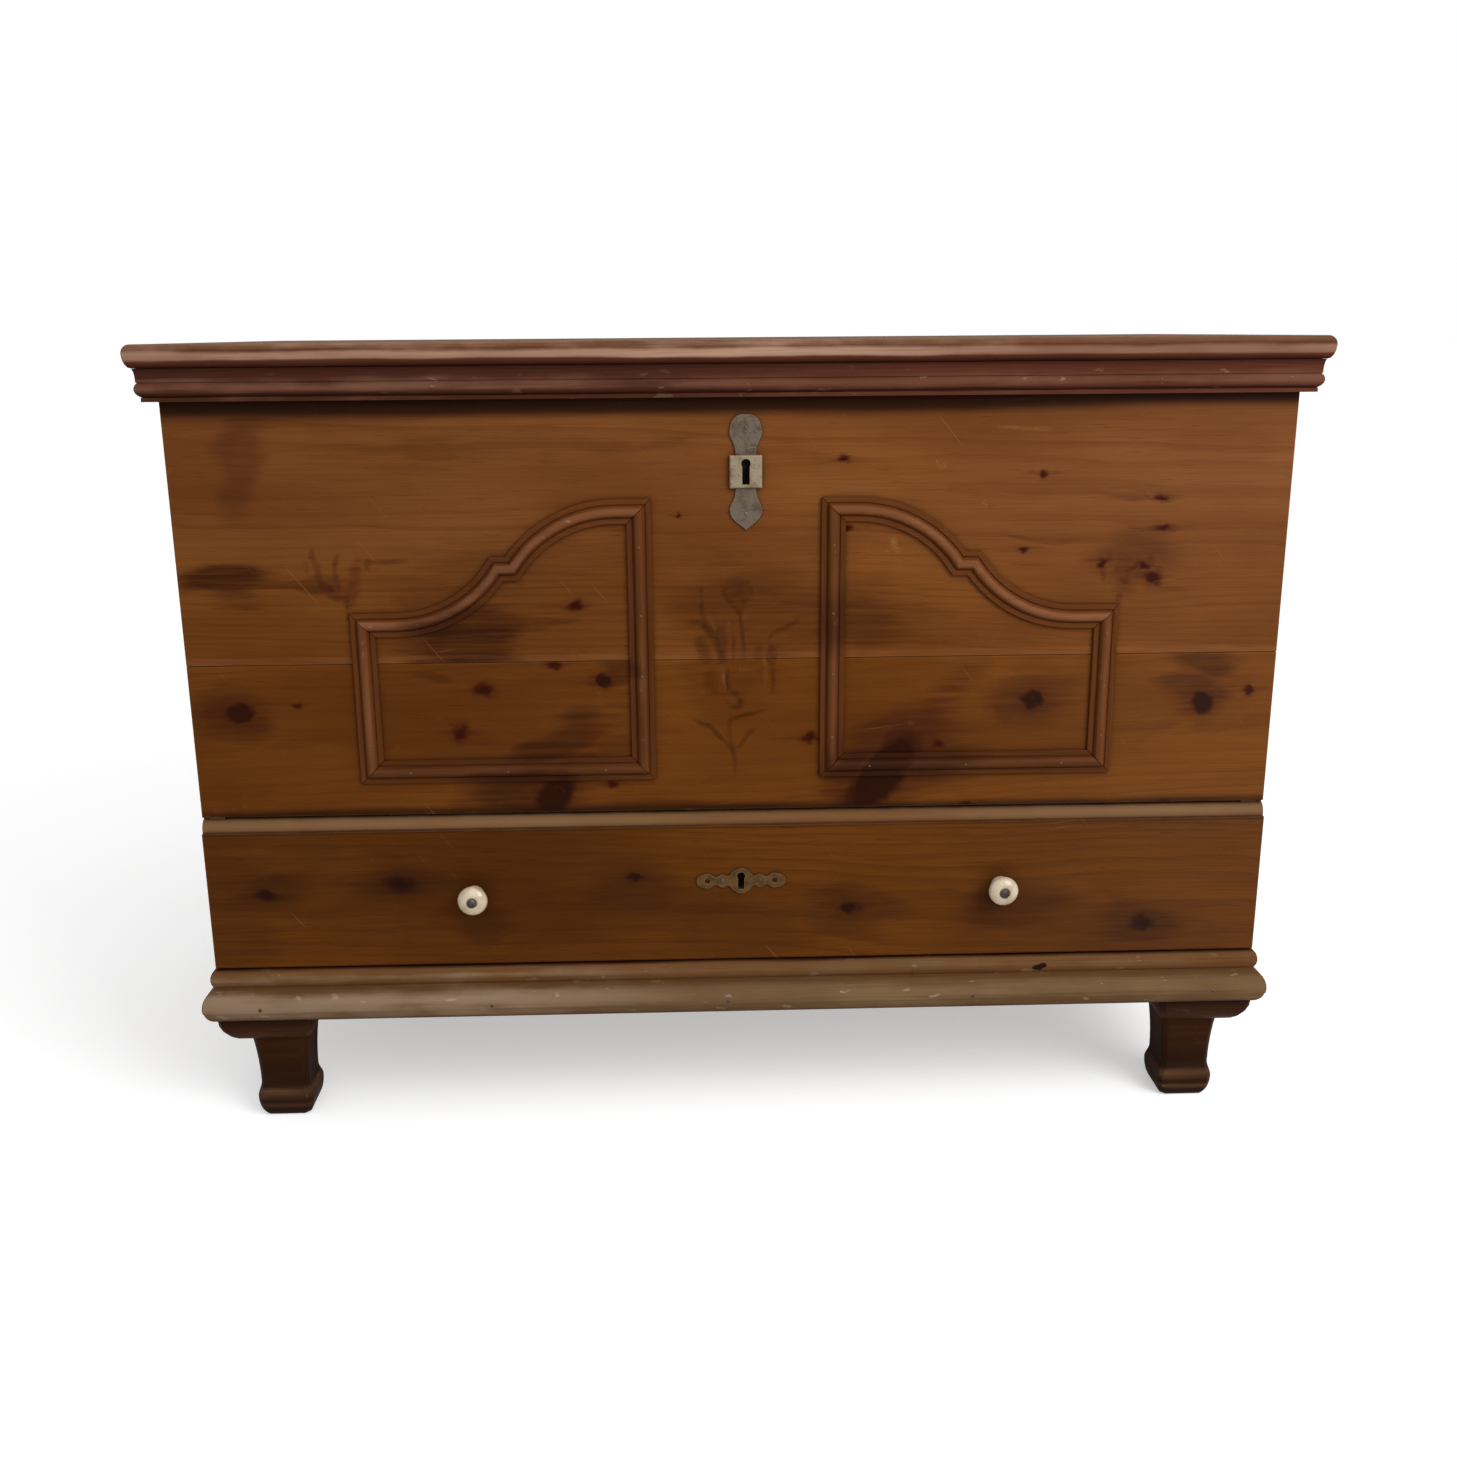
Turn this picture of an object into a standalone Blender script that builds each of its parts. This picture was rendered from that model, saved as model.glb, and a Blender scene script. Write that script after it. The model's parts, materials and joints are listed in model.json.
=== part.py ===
"""Lift-lid pine coffer with one long drawer under it.

The chest stands on the floor at z = 0, faces -Y and has its origin under the middle of its outer box.
Boards are dovetailed at the corners. The lid turns on two strap hinges, the drawer runs on two runners,
and each lock has a sliding bolt. Every point is written as (x, depth, z), where depth runs back from the
face of the front boards.
"""

import bpy
import bmesh
from math import atan2, cos, degrees, pi, radians, sin, sqrt
from mathutils import Euler, Matrix, Vector

# Outer sizes of the case, in metres
CASE_WIDTH = 1.100
CASE_DEPTH = 0.540
FOOT_HEIGHT = 0.1285
PLINTH_HEIGHT = 0.059
DRAWER_OPENING_HEIGHT = 0.167
LOWER_BOARD_HEIGHT = 0.159
UPPER_BOARD_HEIGHT = 0.2895
BACK_LOWER_HEIGHT = 0.300
LID_BOARD_THICKNESS = 0.022

# Clearances
GAP = 0.0003
OVERSHOOT = 0.004
LID_RIM_CLEARANCE = 0.0015
DRAWER_REVEAL = 0.0018
DRAWER_SIDE_CLEARANCE = 0.002
DRAWER_TOP_CLEARANCE = 0.006
DRAWER_BACK_CLEARANCE = 0.012
LIP_CLOSING_GAP = 0.0006
STAPLE_CLEARANCE = 0.0015
WELD = 0.00001

# Fineness of curved shapes
MOULDING_STEPS = 6
EDGE_STEPS = 4
ROUND_STEPS = 28
SMALL_ROUND_STEPS = 16
OUTLINE_RESOLUTION = 5
SHARP_ANGLE = radians(35)
BODY_MARK_SIZE = 0.05

# Board thicknesses
FRONT_THICKNESS = 0.024
SIDE_THICKNESS = 0.022
BACK_THICKNESS = 0.020
FLOOR_THICKNESS = 0.018

# Joints between boards
FRONT_LAP = 0.008
TONGUE_HEIGHT = 0.008
TONGUE_THICKNESS = 0.008
FLOOR_GROOVE = 0.007
FLOOR_LIP = 0.014
FLOOR_FRONT_BOARD = 0.250
TAIL_WIDTH = 0.046
TAIL_SLOPE = 1 / 6
UPPER_TAIL_COUNT = 4
LOWER_TAIL_COUNT = 2
BACK_UPPER_TAIL_COUNT = 4
BACK_LOWER_TAIL_COUNT = 4

# Lid edge and the moulding under it
LID_OVERHANG = 0.0230
LID_TOP_ROUND = 0.0065
LID_NOSE_RISE = 0.0085
LID_NOSE_UNDERCUT = 0.0058
LID_FRONT_BOARD = 0.300
RIM_HEIGHT = 0.0310
RIM_TOP_REACH = 0.0172
RIM_COVE_REACH = 0.0148
RIM_COVE_HEIGHT = 0.0115
RIM_BEAD_SET = 0.0088
RIM_BEAD_RADIUS = 0.0078
RIM_BEAD_START_ANGLE = 50
RIM_BEAD_END_ANGLE = -60
RIM_QUIRK = 0.0012
RIM_FOOT_REACH = 0.0122
RIM_FOOT_HEIGHT = 0.0040

# Plinth
PLINTH_RAIL_WIDTH = 0.062
PLINTH_BEAD_REACH = 0.0070
PLINTH_BEAD_RISE = 0.0112
PLINTH_NECK_REACH = 0.0034
PLINTH_NECK_DROP = 0.0212
PLINTH_TORUS_SET = 0.0035
PLINTH_TORUS_REACH = 0.0125
PLINTH_TORUS_RISE = 0.0178
PLINTH_ARRIS = 0.0007
PLINTH_BEAD_END_ANGLE = -50
PLINTH_TORUS_START_ANGLE = 75
PLINTH_ARRIS_ANGLE = -15
PLINTH_UNDER_ARRIS_ANGLE = -18
RUNNER_WIDTH = 0.026
RUNNER_HEIGHT = 0.014

# Feet
FOOT_INSET = 0.0510
FOOT_SHAFT_HALF = 0.0305
FOOT_WAIST_HALF = 0.0262
FOOT_PAD_HALF = 0.0300
FOOT_PAD_ROUND = 0.0085
FOOT_PAD_MIDDLE = 0.0235
FOOT_PAD_HEIGHT = 0.040
FOOT_BULGE_HEIGHT = 0.0300
FOOT_BULGE_REACH = 0.0060
FOOT_BRACKET_REACH = 0.0120
FOOT_CHAMFER = 0.0050
FOOT_STEPS = 6
DOWEL_RADIUS = 0.009
DOWEL_LENGTH = 0.026
DOWEL_INSET = 0.028
DOWEL_ALONG = 0.066

# Arched frames on the front
FRAME_INNER_X = 0.0960
FRAME_OUTER_X = 0.3722
FRAME_LIFT = 0.0465
FRAME_HEIGHT = 0.2620
FRAME_SHOULDER_DROP = 0.1100
FRAME_INNER_FLAT = 0.0235
FRAME_LEDGE = 0.0150
FRAME_SWEEP = radians(56.5)
FRAME_ARC_STEPS = 10
STRIP_WIDTH = 0.0240
STRIP_EDGE = 0.0030
STRIP_BEAD = 0.0120
STRIP_HEIGHT = 0.0078
STRIP_QUIRK = 0.0011

# Drawer
DRAWER_PROUD = 0.006
DRAWER_FRONT_THICKNESS = 0.026
DRAWER_LIP = 0.010
DRAWER_OVOLO = 0.0110
DRAWER_FILLET = 0.0032
DRAWER_EDGE_ROUND = 0.0030
DRAWER_SIDE_THICKNESS = 0.014
DRAWER_BACK_THICKNESS = 0.014
DRAWER_BACK_DROP = 0.004
DRAWER_BOTTOM_THICKNESS = 0.010
DRAWER_BOTTOM_RISE = 0.010
DRAWER_GROOVE = 0.006
DRAWER_TAIL_WIDTH = 0.030
DRAWER_TAIL_COUNT = 3

# Knobs of the drawer
KNOB_X = 0.2750
KNOB_BELOW_MIDDLE = 0.0030
KNOB_RADIUS = 0.0155
KNOB_NECK_RADIUS = 0.0078
KNOB_BASE_RADIUS = 0.0098
KNOB_LENGTH = 0.0260
KNOB_BOLT_RADIUS = 0.0022
KNOB_BOLT_HEAD_RADIUS = 0.0046
KNOB_BOLT_HEAD_HEIGHT = 0.0022
KNOB_BOLT_TAIL = 0.0020
NUT_WIDTH = 0.0120
NUT_HEIGHT = 0.0045
KNOB_DISH = 0.985
KNOB_DOME = ((0.31, 0.986), (0.54, 0.956), (0.765, 0.900), (0.94, 0.816), (1.0, 0.72))
KNOB_UNDERSIDE = ((0.96, 0.60), (0.80, 0.48))
KNOB_NECK = (0.34, 0.20)
KNOB_BASE = 0.10
KNOB_BOLT_CROWN = ((0.7, 0.75), (1.0, 0.2))

# Lock of the lid
LOCK_X = 0.0095
LOCK_KEYHOLE_DROP = 0.1025
LOCK_WIDTH = 0.110
LOCK_BELOW_KEYHOLE = 0.034
LOCK_TOP_DROP = 0.0055
LOCK_DEPTH = 0.026
PLATE_THICKNESS = 0.0016
PLATE_BELOW_KEYHOLE = 0.0570
PLATE_ABOVE_KEYHOLE = 0.0550
PLATE_HALF_WIDTH = 0.0158
PLATE_NECK_HALF = 0.0106
PLATE_NECK_RISE = 0.0065
PLATE_CROWN_HALF = 0.0095
PLATE_CROWN_DROP = 0.0024
PLATE_EAR_DROP = 0.0165
PLATE_TIP_RISE = 0.0170
SQUARE_SIZE = 0.0320
SQUARE_THICKNESS = 0.0030
SQUARE_BEVEL = 0.0012
KEYHOLE_RADIUS = 0.0046
KEYHOLE_SLOT_HALF = 0.0036
KEYHOLE_LENGTH = 0.0250
KEYHOLE_STEPS = 10
KEYHOLE_DEPTH_IN_LOCK = 0.012
BOLT_THICKNESS = 0.008
BOLT_HEIGHT = 0.010
BOLT_LENGTH = 0.038
BOLT_DROP = 0.021
BOLT_THROW = 0.020
BOLT_SETBACK = 0.0035
STAPLE_PLATE = (0.050, 0.022)
STAPLE_PLATE_THICKNESS = 0.003
STAPLE_THICKNESS = 0.006
STAPLE_WALL = 0.0028
STAPLE_EYE_CLEARANCE = 0.0008

# Lock of the drawer
DRAWER_LOCK_X = 0.0025
DRAWER_KEYHOLE_ABOVE_MIDDLE = 0.0075
DRAWER_KEYHOLE_LENGTH = 0.0186
DRAWER_KEYHOLE_RADIUS = 0.0042
DRAWER_KEYHOLE_SLOT_HALF = 0.0032
DRAWER_PLATE_THICKNESS = 0.0018
DRAWER_KEYHOLE_DEPTH_IN_LOCK = 0.006
DRAWER_PLATE_HALF_LENGTH = 0.0465
DRAWER_PLATE_HALF_HEIGHT = 0.0140
DRAWER_PLATE_SHOULDER_X = 0.0085
DRAWER_PLATE_SHOULDER_HALF = 0.0100
DRAWER_PLATE_WAIST_X = 0.0130
DRAWER_PLATE_WAIST_HALF = 0.0052
DRAWER_PLATE_SMALL_LOBE_X = 0.0195
DRAWER_PLATE_SMALL_LOBE_HALF = 0.0072
DRAWER_PLATE_NECK_X = 0.0262
DRAWER_PLATE_NECK_HALF = 0.0042
DRAWER_PLATE_LOBE_X = 0.0350
DRAWER_PLATE_LOBE_HALF = 0.0080
DRAWER_PLATE_SMALL_HOLE = 0.0020
DRAWER_PLATE_HOLE = 0.0027
DRAWER_LOCK_WIDTH = 0.076
DRAWER_LOCK_DEPTH = 0.015
DRAWER_LOCK_TOP_DROP = 0.004
DRAWER_LOCK_BELOW_KEYHOLE = 0.018
DRAWER_BOLT_WIDTH = 0.022
DRAWER_BOLT_THICKNESS = 0.007
DRAWER_BOLT_LENGTH = 0.044
DRAWER_BOLT_LIP_CLEARANCE = 0.0012

# Hinges of the lid
HINGE_INSET = 0.180
HINGE_LEAF_WIDTH = 0.062
HINGE_LEAF_HEIGHT = 0.120
HINGE_METAL = 0.003
HINGE_STRAP_WIDTH = 0.030
HINGE_STRAP_TIP_HALF = 0.0085
HINGE_STRAP_LENGTH = 0.300
HINGE_STRAP_DISC = 0.0140
HINGE_BARREL_RADIUS = 0.006
HINGE_PIN_RADIUS = 0.0025
HINGE_PIN_HEAD_RADIUS = 0.0042
HINGE_PIN_HEAD = 0.0025
HINGE_STEPS = 20

# Heights worked out from the sizes above
PLINTH_TOP = FOOT_HEIGHT + PLINTH_HEIGHT
FRONT_BOTTOM = PLINTH_TOP + DRAWER_OPENING_HEIGHT
BOARD_JOINT = FRONT_BOTTOM + LOWER_BOARD_HEIGHT
CASE_TOP = BOARD_JOINT + UPPER_BOARD_HEIGHT
LID_TOP = CASE_TOP + LID_BOARD_THICKNESS
RIM_BOTTOM = CASE_TOP - RIM_HEIGHT
FRAME_BOTTOM = FRONT_BOTTOM + FRAME_LIFT
FRAME_TOP = FRAME_BOTTOM + FRAME_HEIGHT
FRAME_SHOULDER = FRAME_TOP - FRAME_SHOULDER_DROP
BACK_JOINT = PLINTH_TOP + BACK_LOWER_HEIGHT
FLOOR_BOTTOM = FRONT_BOTTOM + FLOOR_LIP
FLOOR_TOP = FLOOR_BOTTOM + FLOOR_THICKNESS
RUNNER_TOP = PLINTH_TOP + GAP + RUNNER_HEIGHT
DRAWER_BOTTOM_EDGE = PLINTH_TOP + DRAWER_REVEAL
DRAWER_TOP_EDGE = FRONT_BOTTOM - DRAWER_REVEAL
DRAWER_SIDE_BOTTOM = RUNNER_TOP + GAP
DRAWER_SIDE_TOP = FRONT_BOTTOM - DRAWER_TOP_CLEARANCE
DRAWER_PANEL_BOTTOM = DRAWER_SIDE_BOTTOM + DRAWER_BOTTOM_RISE
DRAWER_PANEL_TOP = DRAWER_PANEL_BOTTOM + DRAWER_BOTTOM_THICKNESS
DRAWER_MIDDLE = PLINTH_TOP + DRAWER_OPENING_HEIGHT / 2
KNOB_HEIGHT = DRAWER_MIDDLE - KNOB_BELOW_MIDDLE
DRAWER_KEYHOLE_HEIGHT = DRAWER_MIDDLE + DRAWER_KEYHOLE_ABOVE_MIDDLE
LOCK_TOP = CASE_TOP - LOCK_TOP_DROP
LOCK_KEYHOLE_HEIGHT = CASE_TOP - LOCK_KEYHOLE_DROP
DRAWER_LOCK_TOP = DRAWER_TOP_EDGE - DRAWER_LOCK_TOP_DROP
HINGE_AXIS_HEIGHT = CASE_TOP - HINGE_BARREL_RADIUS

# Widths and depths worked out from the sizes above
HALF_WIDTH = CASE_WIDTH / 2
INNER_HALF = HALF_WIDTH - SIDE_THICKNESS
HINGE_X = HALF_WIDTH - HINGE_INSET
BACK_INNER = CASE_DEPTH - BACK_THICKNESS
HINGE_AXIS_DEPTH = CASE_DEPTH + GAP + HINGE_BARREL_RADIUS
DRAWER_FACE = -DRAWER_PROUD
DRAWER_LIP_BACK = DRAWER_FACE + DRAWER_LIP
DRAWER_FRONT_BACK = DRAWER_FACE + DRAWER_FRONT_THICKNESS
DRAWER_END = BACK_INNER - DRAWER_BACK_CLEARANCE
DRAWER_OUTER_HALF = INNER_HALF - DRAWER_SIDE_CLEARANCE
DRAWER_INNER_HALF = DRAWER_OUTER_HALF - DRAWER_SIDE_THICKNESS
LOCK_MIDDLE_DEPTH = FRONT_THICKNESS + GAP + LOCK_DEPTH / 2
DRAWER_BOLT_FRONT = FRONT_THICKNESS + DRAWER_BOLT_LIP_CLEARANCE

# The origin lies under the middle of the outer box
KNOB_REACH = DRAWER_PROUD + 2 * GAP + KNOB_LENGTH + KNOB_BOLT_HEAD_HEIGHT
FRONT_REACH = max(LID_OVERHANG, KNOB_REACH)
BACK_REACH = HINGE_AXIS_DEPTH + HINGE_BARREL_RADIUS
FACE_Y = (FRONT_REACH - BACK_REACH) / 2

# Linear colours, roughness and metallic value of each finish
FINISHES = {
    "front_pine": ((0.150, 0.058, 0.014), 0.45, 0.0),
    "drawer_pine": ((0.085, 0.030, 0.007), 0.45, 0.0),
    "lid_pine": ((0.110, 0.045, 0.020), 0.45, 0.0),
    "rim_pine": ((0.050, 0.018, 0.010), 0.45, 0.0),
    "plinth_pine": ((0.160, 0.085, 0.045), 0.50, 0.0),
    "foot_pine": ((0.030, 0.014, 0.007), 0.50, 0.0),
    "frame_pine": ((0.120, 0.042, 0.018), 0.45, 0.0),
    "raw_pine": ((0.300, 0.175, 0.080), 0.70, 0.0),
    "iron": ((0.060, 0.055, 0.050), 0.55, 0.9),
    "plate_iron": ((0.210, 0.180, 0.135), 0.50, 0.7),
    "old_brass": ((0.130, 0.080, 0.030), 0.45, 0.9),
    "porcelain": ((0.680, 0.580, 0.460), 0.15, 0.0),
}

BODY_ORIGINS = {
    "case": (0, 0, 0),
    "lid": (0, FACE_Y + HINGE_AXIS_DEPTH, HINGE_AXIS_HEIGHT),
    "drawer": (0, FACE_Y + DRAWER_FACE, RUNNER_TOP),
    "lid_bolt": (LOCK_X, FACE_Y + LOCK_MIDDLE_DEPTH, CASE_TOP - BOLT_DROP),
    "drawer_bolt": (DRAWER_LOCK_X, FACE_Y + DRAWER_BOLT_FRONT, DRAWER_LOCK_TOP),
}

# Turns that lay an outline's plane across each extrusion axis
AXIS_TURN = {
    "X": Euler((pi / 2, 0, pi / 2)).to_matrix().to_4x4(),
    "Y": Euler((pi / 2, 0, 0)).to_matrix().to_4x4(),
    "Z": Matrix.Identity(4),
}
SIDES = {"left": -1, "right": 1}


# Scene set-up

def clear_scene():
    for old in list(bpy.data.objects):
        bpy.data.objects.remove(old, do_unlink=True)


def new_collection(name):
    collection = bpy.data.collections.new(name)
    bpy.context.scene.collection.children.link(collection)
    return collection


clear_scene()
PARTS = new_collection("drawer_coffer")
CUTTERS = new_collection("drawer_coffer_cutters")


def new_finish(name):
    colour, roughness, metallic = FINISHES[name]
    finish = bpy.data.materials.new(name)
    finish.use_nodes = True
    shader = finish.node_tree.nodes["Principled BSDF"]
    shader.inputs["Base Color"].default_value = (*colour, 1)
    shader.inputs["Roughness"].default_value = roughness
    shader.inputs["Metallic"].default_value = metallic
    return finish


MATERIALS = {name: new_finish(name) for name in FINISHES}


def new_body(name):
    empty = bpy.data.objects.new(name + "_body", None)
    empty.location = BODY_ORIGINS[name]
    empty.empty_display_size = BODY_MARK_SIZE
    PARTS.objects.link(empty)
    return empty


BODIES = {name: new_body(name) for name in BODY_ORIGINS}


# Making pieces and cutters

def add_part(name, mesh, place, finish, body="case"):
    part = bpy.data.objects.new(name, mesh)
    part.matrix_world = place
    mesh.materials.clear()
    mesh.materials.append(MATERIALS[finish])
    PARTS.objects.link(part)
    part.parent = BODIES[body]
    part.matrix_parent_inverse = Matrix.Translation(BODY_ORIGINS[body]).inverted()
    return part


def add_cutter(name, mesh, place):
    cutter = bpy.data.objects.new(name, mesh)
    cutter.matrix_world = place
    cutter.hide_render = True
    cutter.display_type = "WIRE"
    CUTTERS.objects.link(cutter)
    return cutter


def boolean(part, other, operation):
    modifier = part.modifiers.new(other.name, "BOOLEAN")
    modifier.operation = operation
    modifier.solver = "EXACT"
    modifier.object = other


def cut(part, *cutters):
    for cutter in cutters:
        boolean(part, cutter, "DIFFERENCE")


def join(part, *pieces):
    for piece in pieces:
        boolean(part, piece, "UNION")


def shade_round(mesh):
    mesh.shade_smooth()
    mesh.set_sharp_from_angle(angle=SHARP_ANGLE)


def mesh_from(work, name="mesh"):
    """A mesh from a bmesh, with its faces turned outwards."""
    bmesh.ops.recalc_face_normals(work, faces=work.faces[:])
    mesh = bpy.data.meshes.new(name)
    work.to_mesh(mesh)
    work.free()
    return mesh


# Each shape function returns a mesh and its place, ready for add_part or add_cutter

def box(x_span, depth_span, z_span):
    spans = (x_span, depth_span, z_span)
    size = [high - low for low, high in spans]
    middle = [(high + low) / 2 for low, high in spans]
    work = bmesh.new()
    bmesh.ops.create_cube(work, size=1, matrix=Matrix.Diagonal((*size, 1)))
    return mesh_from(work), Matrix.Translation((middle[0], FACE_Y + middle[1], middle[2]))


def extruded(outlines, axis, span, smooth=False):
    """Closed outlines extruded along an axis; an outline inside another is a hole.

    An outline's points are (depth, z) along X, (x, z) along Y and (x, depth) along Z. A smooth outline is
    a Bezier loop through its points, with a sharp corner at each point that ends in "corner".
    """
    curve = bpy.data.curves.new("outline", "CURVE")
    curve.dimensions = "2D"
    curve.fill_mode = "BOTH"
    curve.extrude = (span[1] - span[0]) / 2
    for outline in outlines:
        add_spline(curve, outline, smooth)
    holder = bpy.data.objects.new("outline", curve)
    bpy.context.scene.collection.objects.link(holder)
    graph = bpy.context.evaluated_depsgraph_get()
    mesh = bpy.data.meshes.new_from_object(holder.evaluated_get(graph))
    bpy.data.objects.remove(holder)
    bpy.data.curves.remove(curve)
    work = bmesh.new()
    work.from_mesh(mesh)
    bpy.data.meshes.remove(mesh)
    bmesh.ops.remove_doubles(work, verts=work.verts[:], dist=WELD)
    middle = (span[0] + span[1]) / 2
    shifts = {"X": (middle, FACE_Y, 0), "Y": (0, FACE_Y + middle, 0), "Z": (0, FACE_Y, middle)}
    return mesh_from(work), Matrix.Translation(shifts[axis]) @ AXIS_TURN[axis]


def add_spline(curve, outline, smooth):
    spline = curve.splines.new("BEZIER" if smooth else "POLY")
    if smooth:
        spline.resolution_u = OUTLINE_RESOLUTION
        spline.bezier_points.add(len(outline) - 1)
        for point, (a, b, *corner) in zip(spline.bezier_points, outline):
            point.co = (a, b, 0)
            point.handle_left_type = "VECTOR" if corner else "AUTO"
            point.handle_right_type = point.handle_left_type
    else:
        spline.points.add(len(outline) - 1)
        for point, (a, b) in zip(spline.points, outline):
            point.co = (a, b, 0, 1)
    spline.use_cyclic_u = True


def loft(rings):
    """A closed solid through rings that have the same number of (x, depth, z) points."""
    work = bmesh.new()
    loops = [[work.verts.new((x, FACE_Y + depth, z)) for x, depth, z in ring] for ring in rings]
    count = len(rings[0])
    for low, high in zip(loops, loops[1:]):
        for index in range(count):
            after = (index + 1) % count
            work.faces.new((low[index], low[after], high[after], high[index]))
    work.faces.new(loops[0])
    work.faces.new(loops[-1])
    return mesh_from(work), Matrix.Identity(4)


def cylinder(radius, axis, centre, span, steps=SMALL_ROUND_STEPS):
    """A round bar along an axis; centre holds its other two coordinates in outline order."""
    return extruded([circle(centre, radius, steps)], axis, span)


def turned(name, profile, place, finish, body, steps=ROUND_STEPS):
    """A profile of (radius, height) points turned about its own Z axis."""
    work = bmesh.new()
    points = [work.verts.new((radius, 0, height)) for radius, height in profile]
    for first, second in zip(points, points[1:]):
        work.edges.new((first, second))
    if profile[0][0] > 0:
        work.edges.new((points[-1], points[0]))
    mesh = bpy.data.meshes.new(name)
    work.to_mesh(mesh)
    work.free()
    part = add_part(name, mesh, place, finish, body)
    screw = part.modifiers.new("turn", "SCREW")
    screw.axis = "Z"
    screw.steps = steps
    screw.render_steps = steps
    screw.use_merge_vertices = True
    screw.merge_threshold = WELD
    return part


def oval(centre, reach, rise, start, end, steps):
    """Points on an upright ellipse from one angle to another, in degrees."""
    angles = [radians(start + (end - start) * step / steps) for step in range(steps + 1)]
    return [(centre[0] + reach * cos(angle), centre[1] + rise * sin(angle)) for angle in angles]


def arc(centre, radius, start, end, steps):
    return oval(centre, radius, radius, start, end, steps)


def circle(centre, radius, steps):
    return arc(centre, radius, 0, 360, steps)[:-1]


# Board outlines and dovetails

def board_outline(faces, edges, tongue=False, groove=False):
    """Section of a board as (thickness, width) points: a tongue on its far edge, a groove in its near one."""
    (front, back), (low, high) = faces, edges
    middle = (front + back) / 2
    half = TONGUE_THICKNESS / 2
    outline = [(front, low)]
    if groove:
        top = low + TONGUE_HEIGHT + GAP
        outline += [(middle - half - GAP, low), (middle - half - GAP, top)]
        outline += [(middle + half + GAP, top), (middle + half + GAP, low)]
    outline += [(back, low), (back, high)]
    if tongue:
        top = high + TONGUE_HEIGHT
        outline += [(middle + half, high), (middle + half, top)]
        outline += [(middle - half, top), (middle - half, high)]
    outline += [(front, high)]
    return outline


def tail_heights(low, high, count):
    pitch = (high - low) / count
    return [low + pitch * (index + 0.5) for index in range(count)]


def tail(height, width, end, shoulder, past_end=0.0, past_shoulder=0.0, grow=0.0):
    """One dovetail as (depth, z) points, from its shoulder round its end, where it is widest."""
    direction = 1 if shoulder > end else -1
    near = end - direction * past_end
    far = shoulder + direction * past_shoulder
    wide = width / 2 + past_end * TAIL_SLOPE + grow
    narrow = wide - abs(far - near) * TAIL_SLOPE
    below = [(far, height - narrow), (near, height - wide)]
    above = [(near, height + wide), (far, height + narrow)]
    return below + above


def tail_cutter(name, heights, width, end, shoulder, past_end, x_span):
    """Sockets for a row of tails, wider than them by the gap and running out past their shoulder."""
    sockets = [tail(height, width, end, shoulder, past_end, OVERSHOOT, GAP) for height in heights]
    return add_cutter(name, *extruded(sockets, "X", x_span))


def through_span(inner, outer, side):
    """X span of a socket cutter on one side: a gap inside the board and past its outer face."""
    return sorted((side * (inner - GAP), side * (outer + OVERSHOOT)))


FRONT_TAIL_HEIGHTS = (tail_heights(FRONT_BOTTOM, BOARD_JOINT, LOWER_TAIL_COUNT)
                      + tail_heights(BOARD_JOINT, CASE_TOP, UPPER_TAIL_COUNT))
BACK_TAIL_HEIGHTS = (tail_heights(PLINTH_TOP, BACK_JOINT, BACK_LOWER_TAIL_COUNT)
                     + tail_heights(BACK_JOINT, CASE_TOP, BACK_UPPER_TAIL_COUNT))
DRAWER_FRONT_TAILS = tail_heights(DRAWER_SIDE_BOTTOM, DRAWER_SIDE_TOP, DRAWER_TAIL_COUNT)
DRAWER_BACK_LOW = DRAWER_PANEL_TOP + GAP
DRAWER_BACK_HIGH = DRAWER_SIDE_TOP - DRAWER_BACK_DROP
DRAWER_BACK_TAILS = tail_heights(DRAWER_BACK_LOW, DRAWER_BACK_HIGH, DRAWER_TAIL_COUNT)


def side_outline():
    """Face of a side board: a plain edge beside the drawer, and tails at the front and the back boards."""
    shoulder = FRONT_THICKNESS + GAP
    back_shoulder = BACK_INNER - GAP
    low = PLINTH_TOP + GAP
    outline = [(DRAWER_LIP_BACK + LIP_CLOSING_GAP, low)]
    outline += [(DRAWER_LIP_BACK + LIP_CLOSING_GAP, FRONT_BOTTOM - GAP), (shoulder, FRONT_BOTTOM - GAP)]
    for height in FRONT_TAIL_HEIGHTS:
        outline += tail(height, TAIL_WIDTH, FRONT_LAP + GAP, shoulder)
    outline += [(shoulder, CASE_TOP), (back_shoulder, CASE_TOP)]
    for height in reversed(BACK_TAIL_HEIGHTS):
        outline += reversed(tail(height, TAIL_WIDTH, CASE_DEPTH, back_shoulder))
    return outline + [(back_shoulder, low)]


# Keyholes

def keyhole(x, height, radius, slot_half, length, grow=0.0):
    """A round top with a slot below it, as (x, z) points, centred on its length."""
    top = (x, height + length / 2 - radius)
    edge = slot_half + grow
    lean = degrees(atan2(-sqrt((radius + grow) ** 2 - edge ** 2), edge))
    outline = arc(top, radius + grow, lean, 180 - lean, KEYHOLE_STEPS)
    bottom = height - length / 2 - grow
    return outline + [(x - edge, bottom), (x + edge, bottom)]


def lid_keyhole(grow=0.0):
    return keyhole(LOCK_X, LOCK_KEYHOLE_HEIGHT, KEYHOLE_RADIUS, KEYHOLE_SLOT_HALF, KEYHOLE_LENGTH, grow)


def drawer_keyhole(grow=0.0):
    return keyhole(DRAWER_LOCK_X, DRAWER_KEYHOLE_HEIGHT, DRAWER_KEYHOLE_RADIUS,
                   DRAWER_KEYHOLE_SLOT_HALF, DRAWER_KEYHOLE_LENGTH, grow)


# Mouldings that run round the front and the two sides

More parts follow.
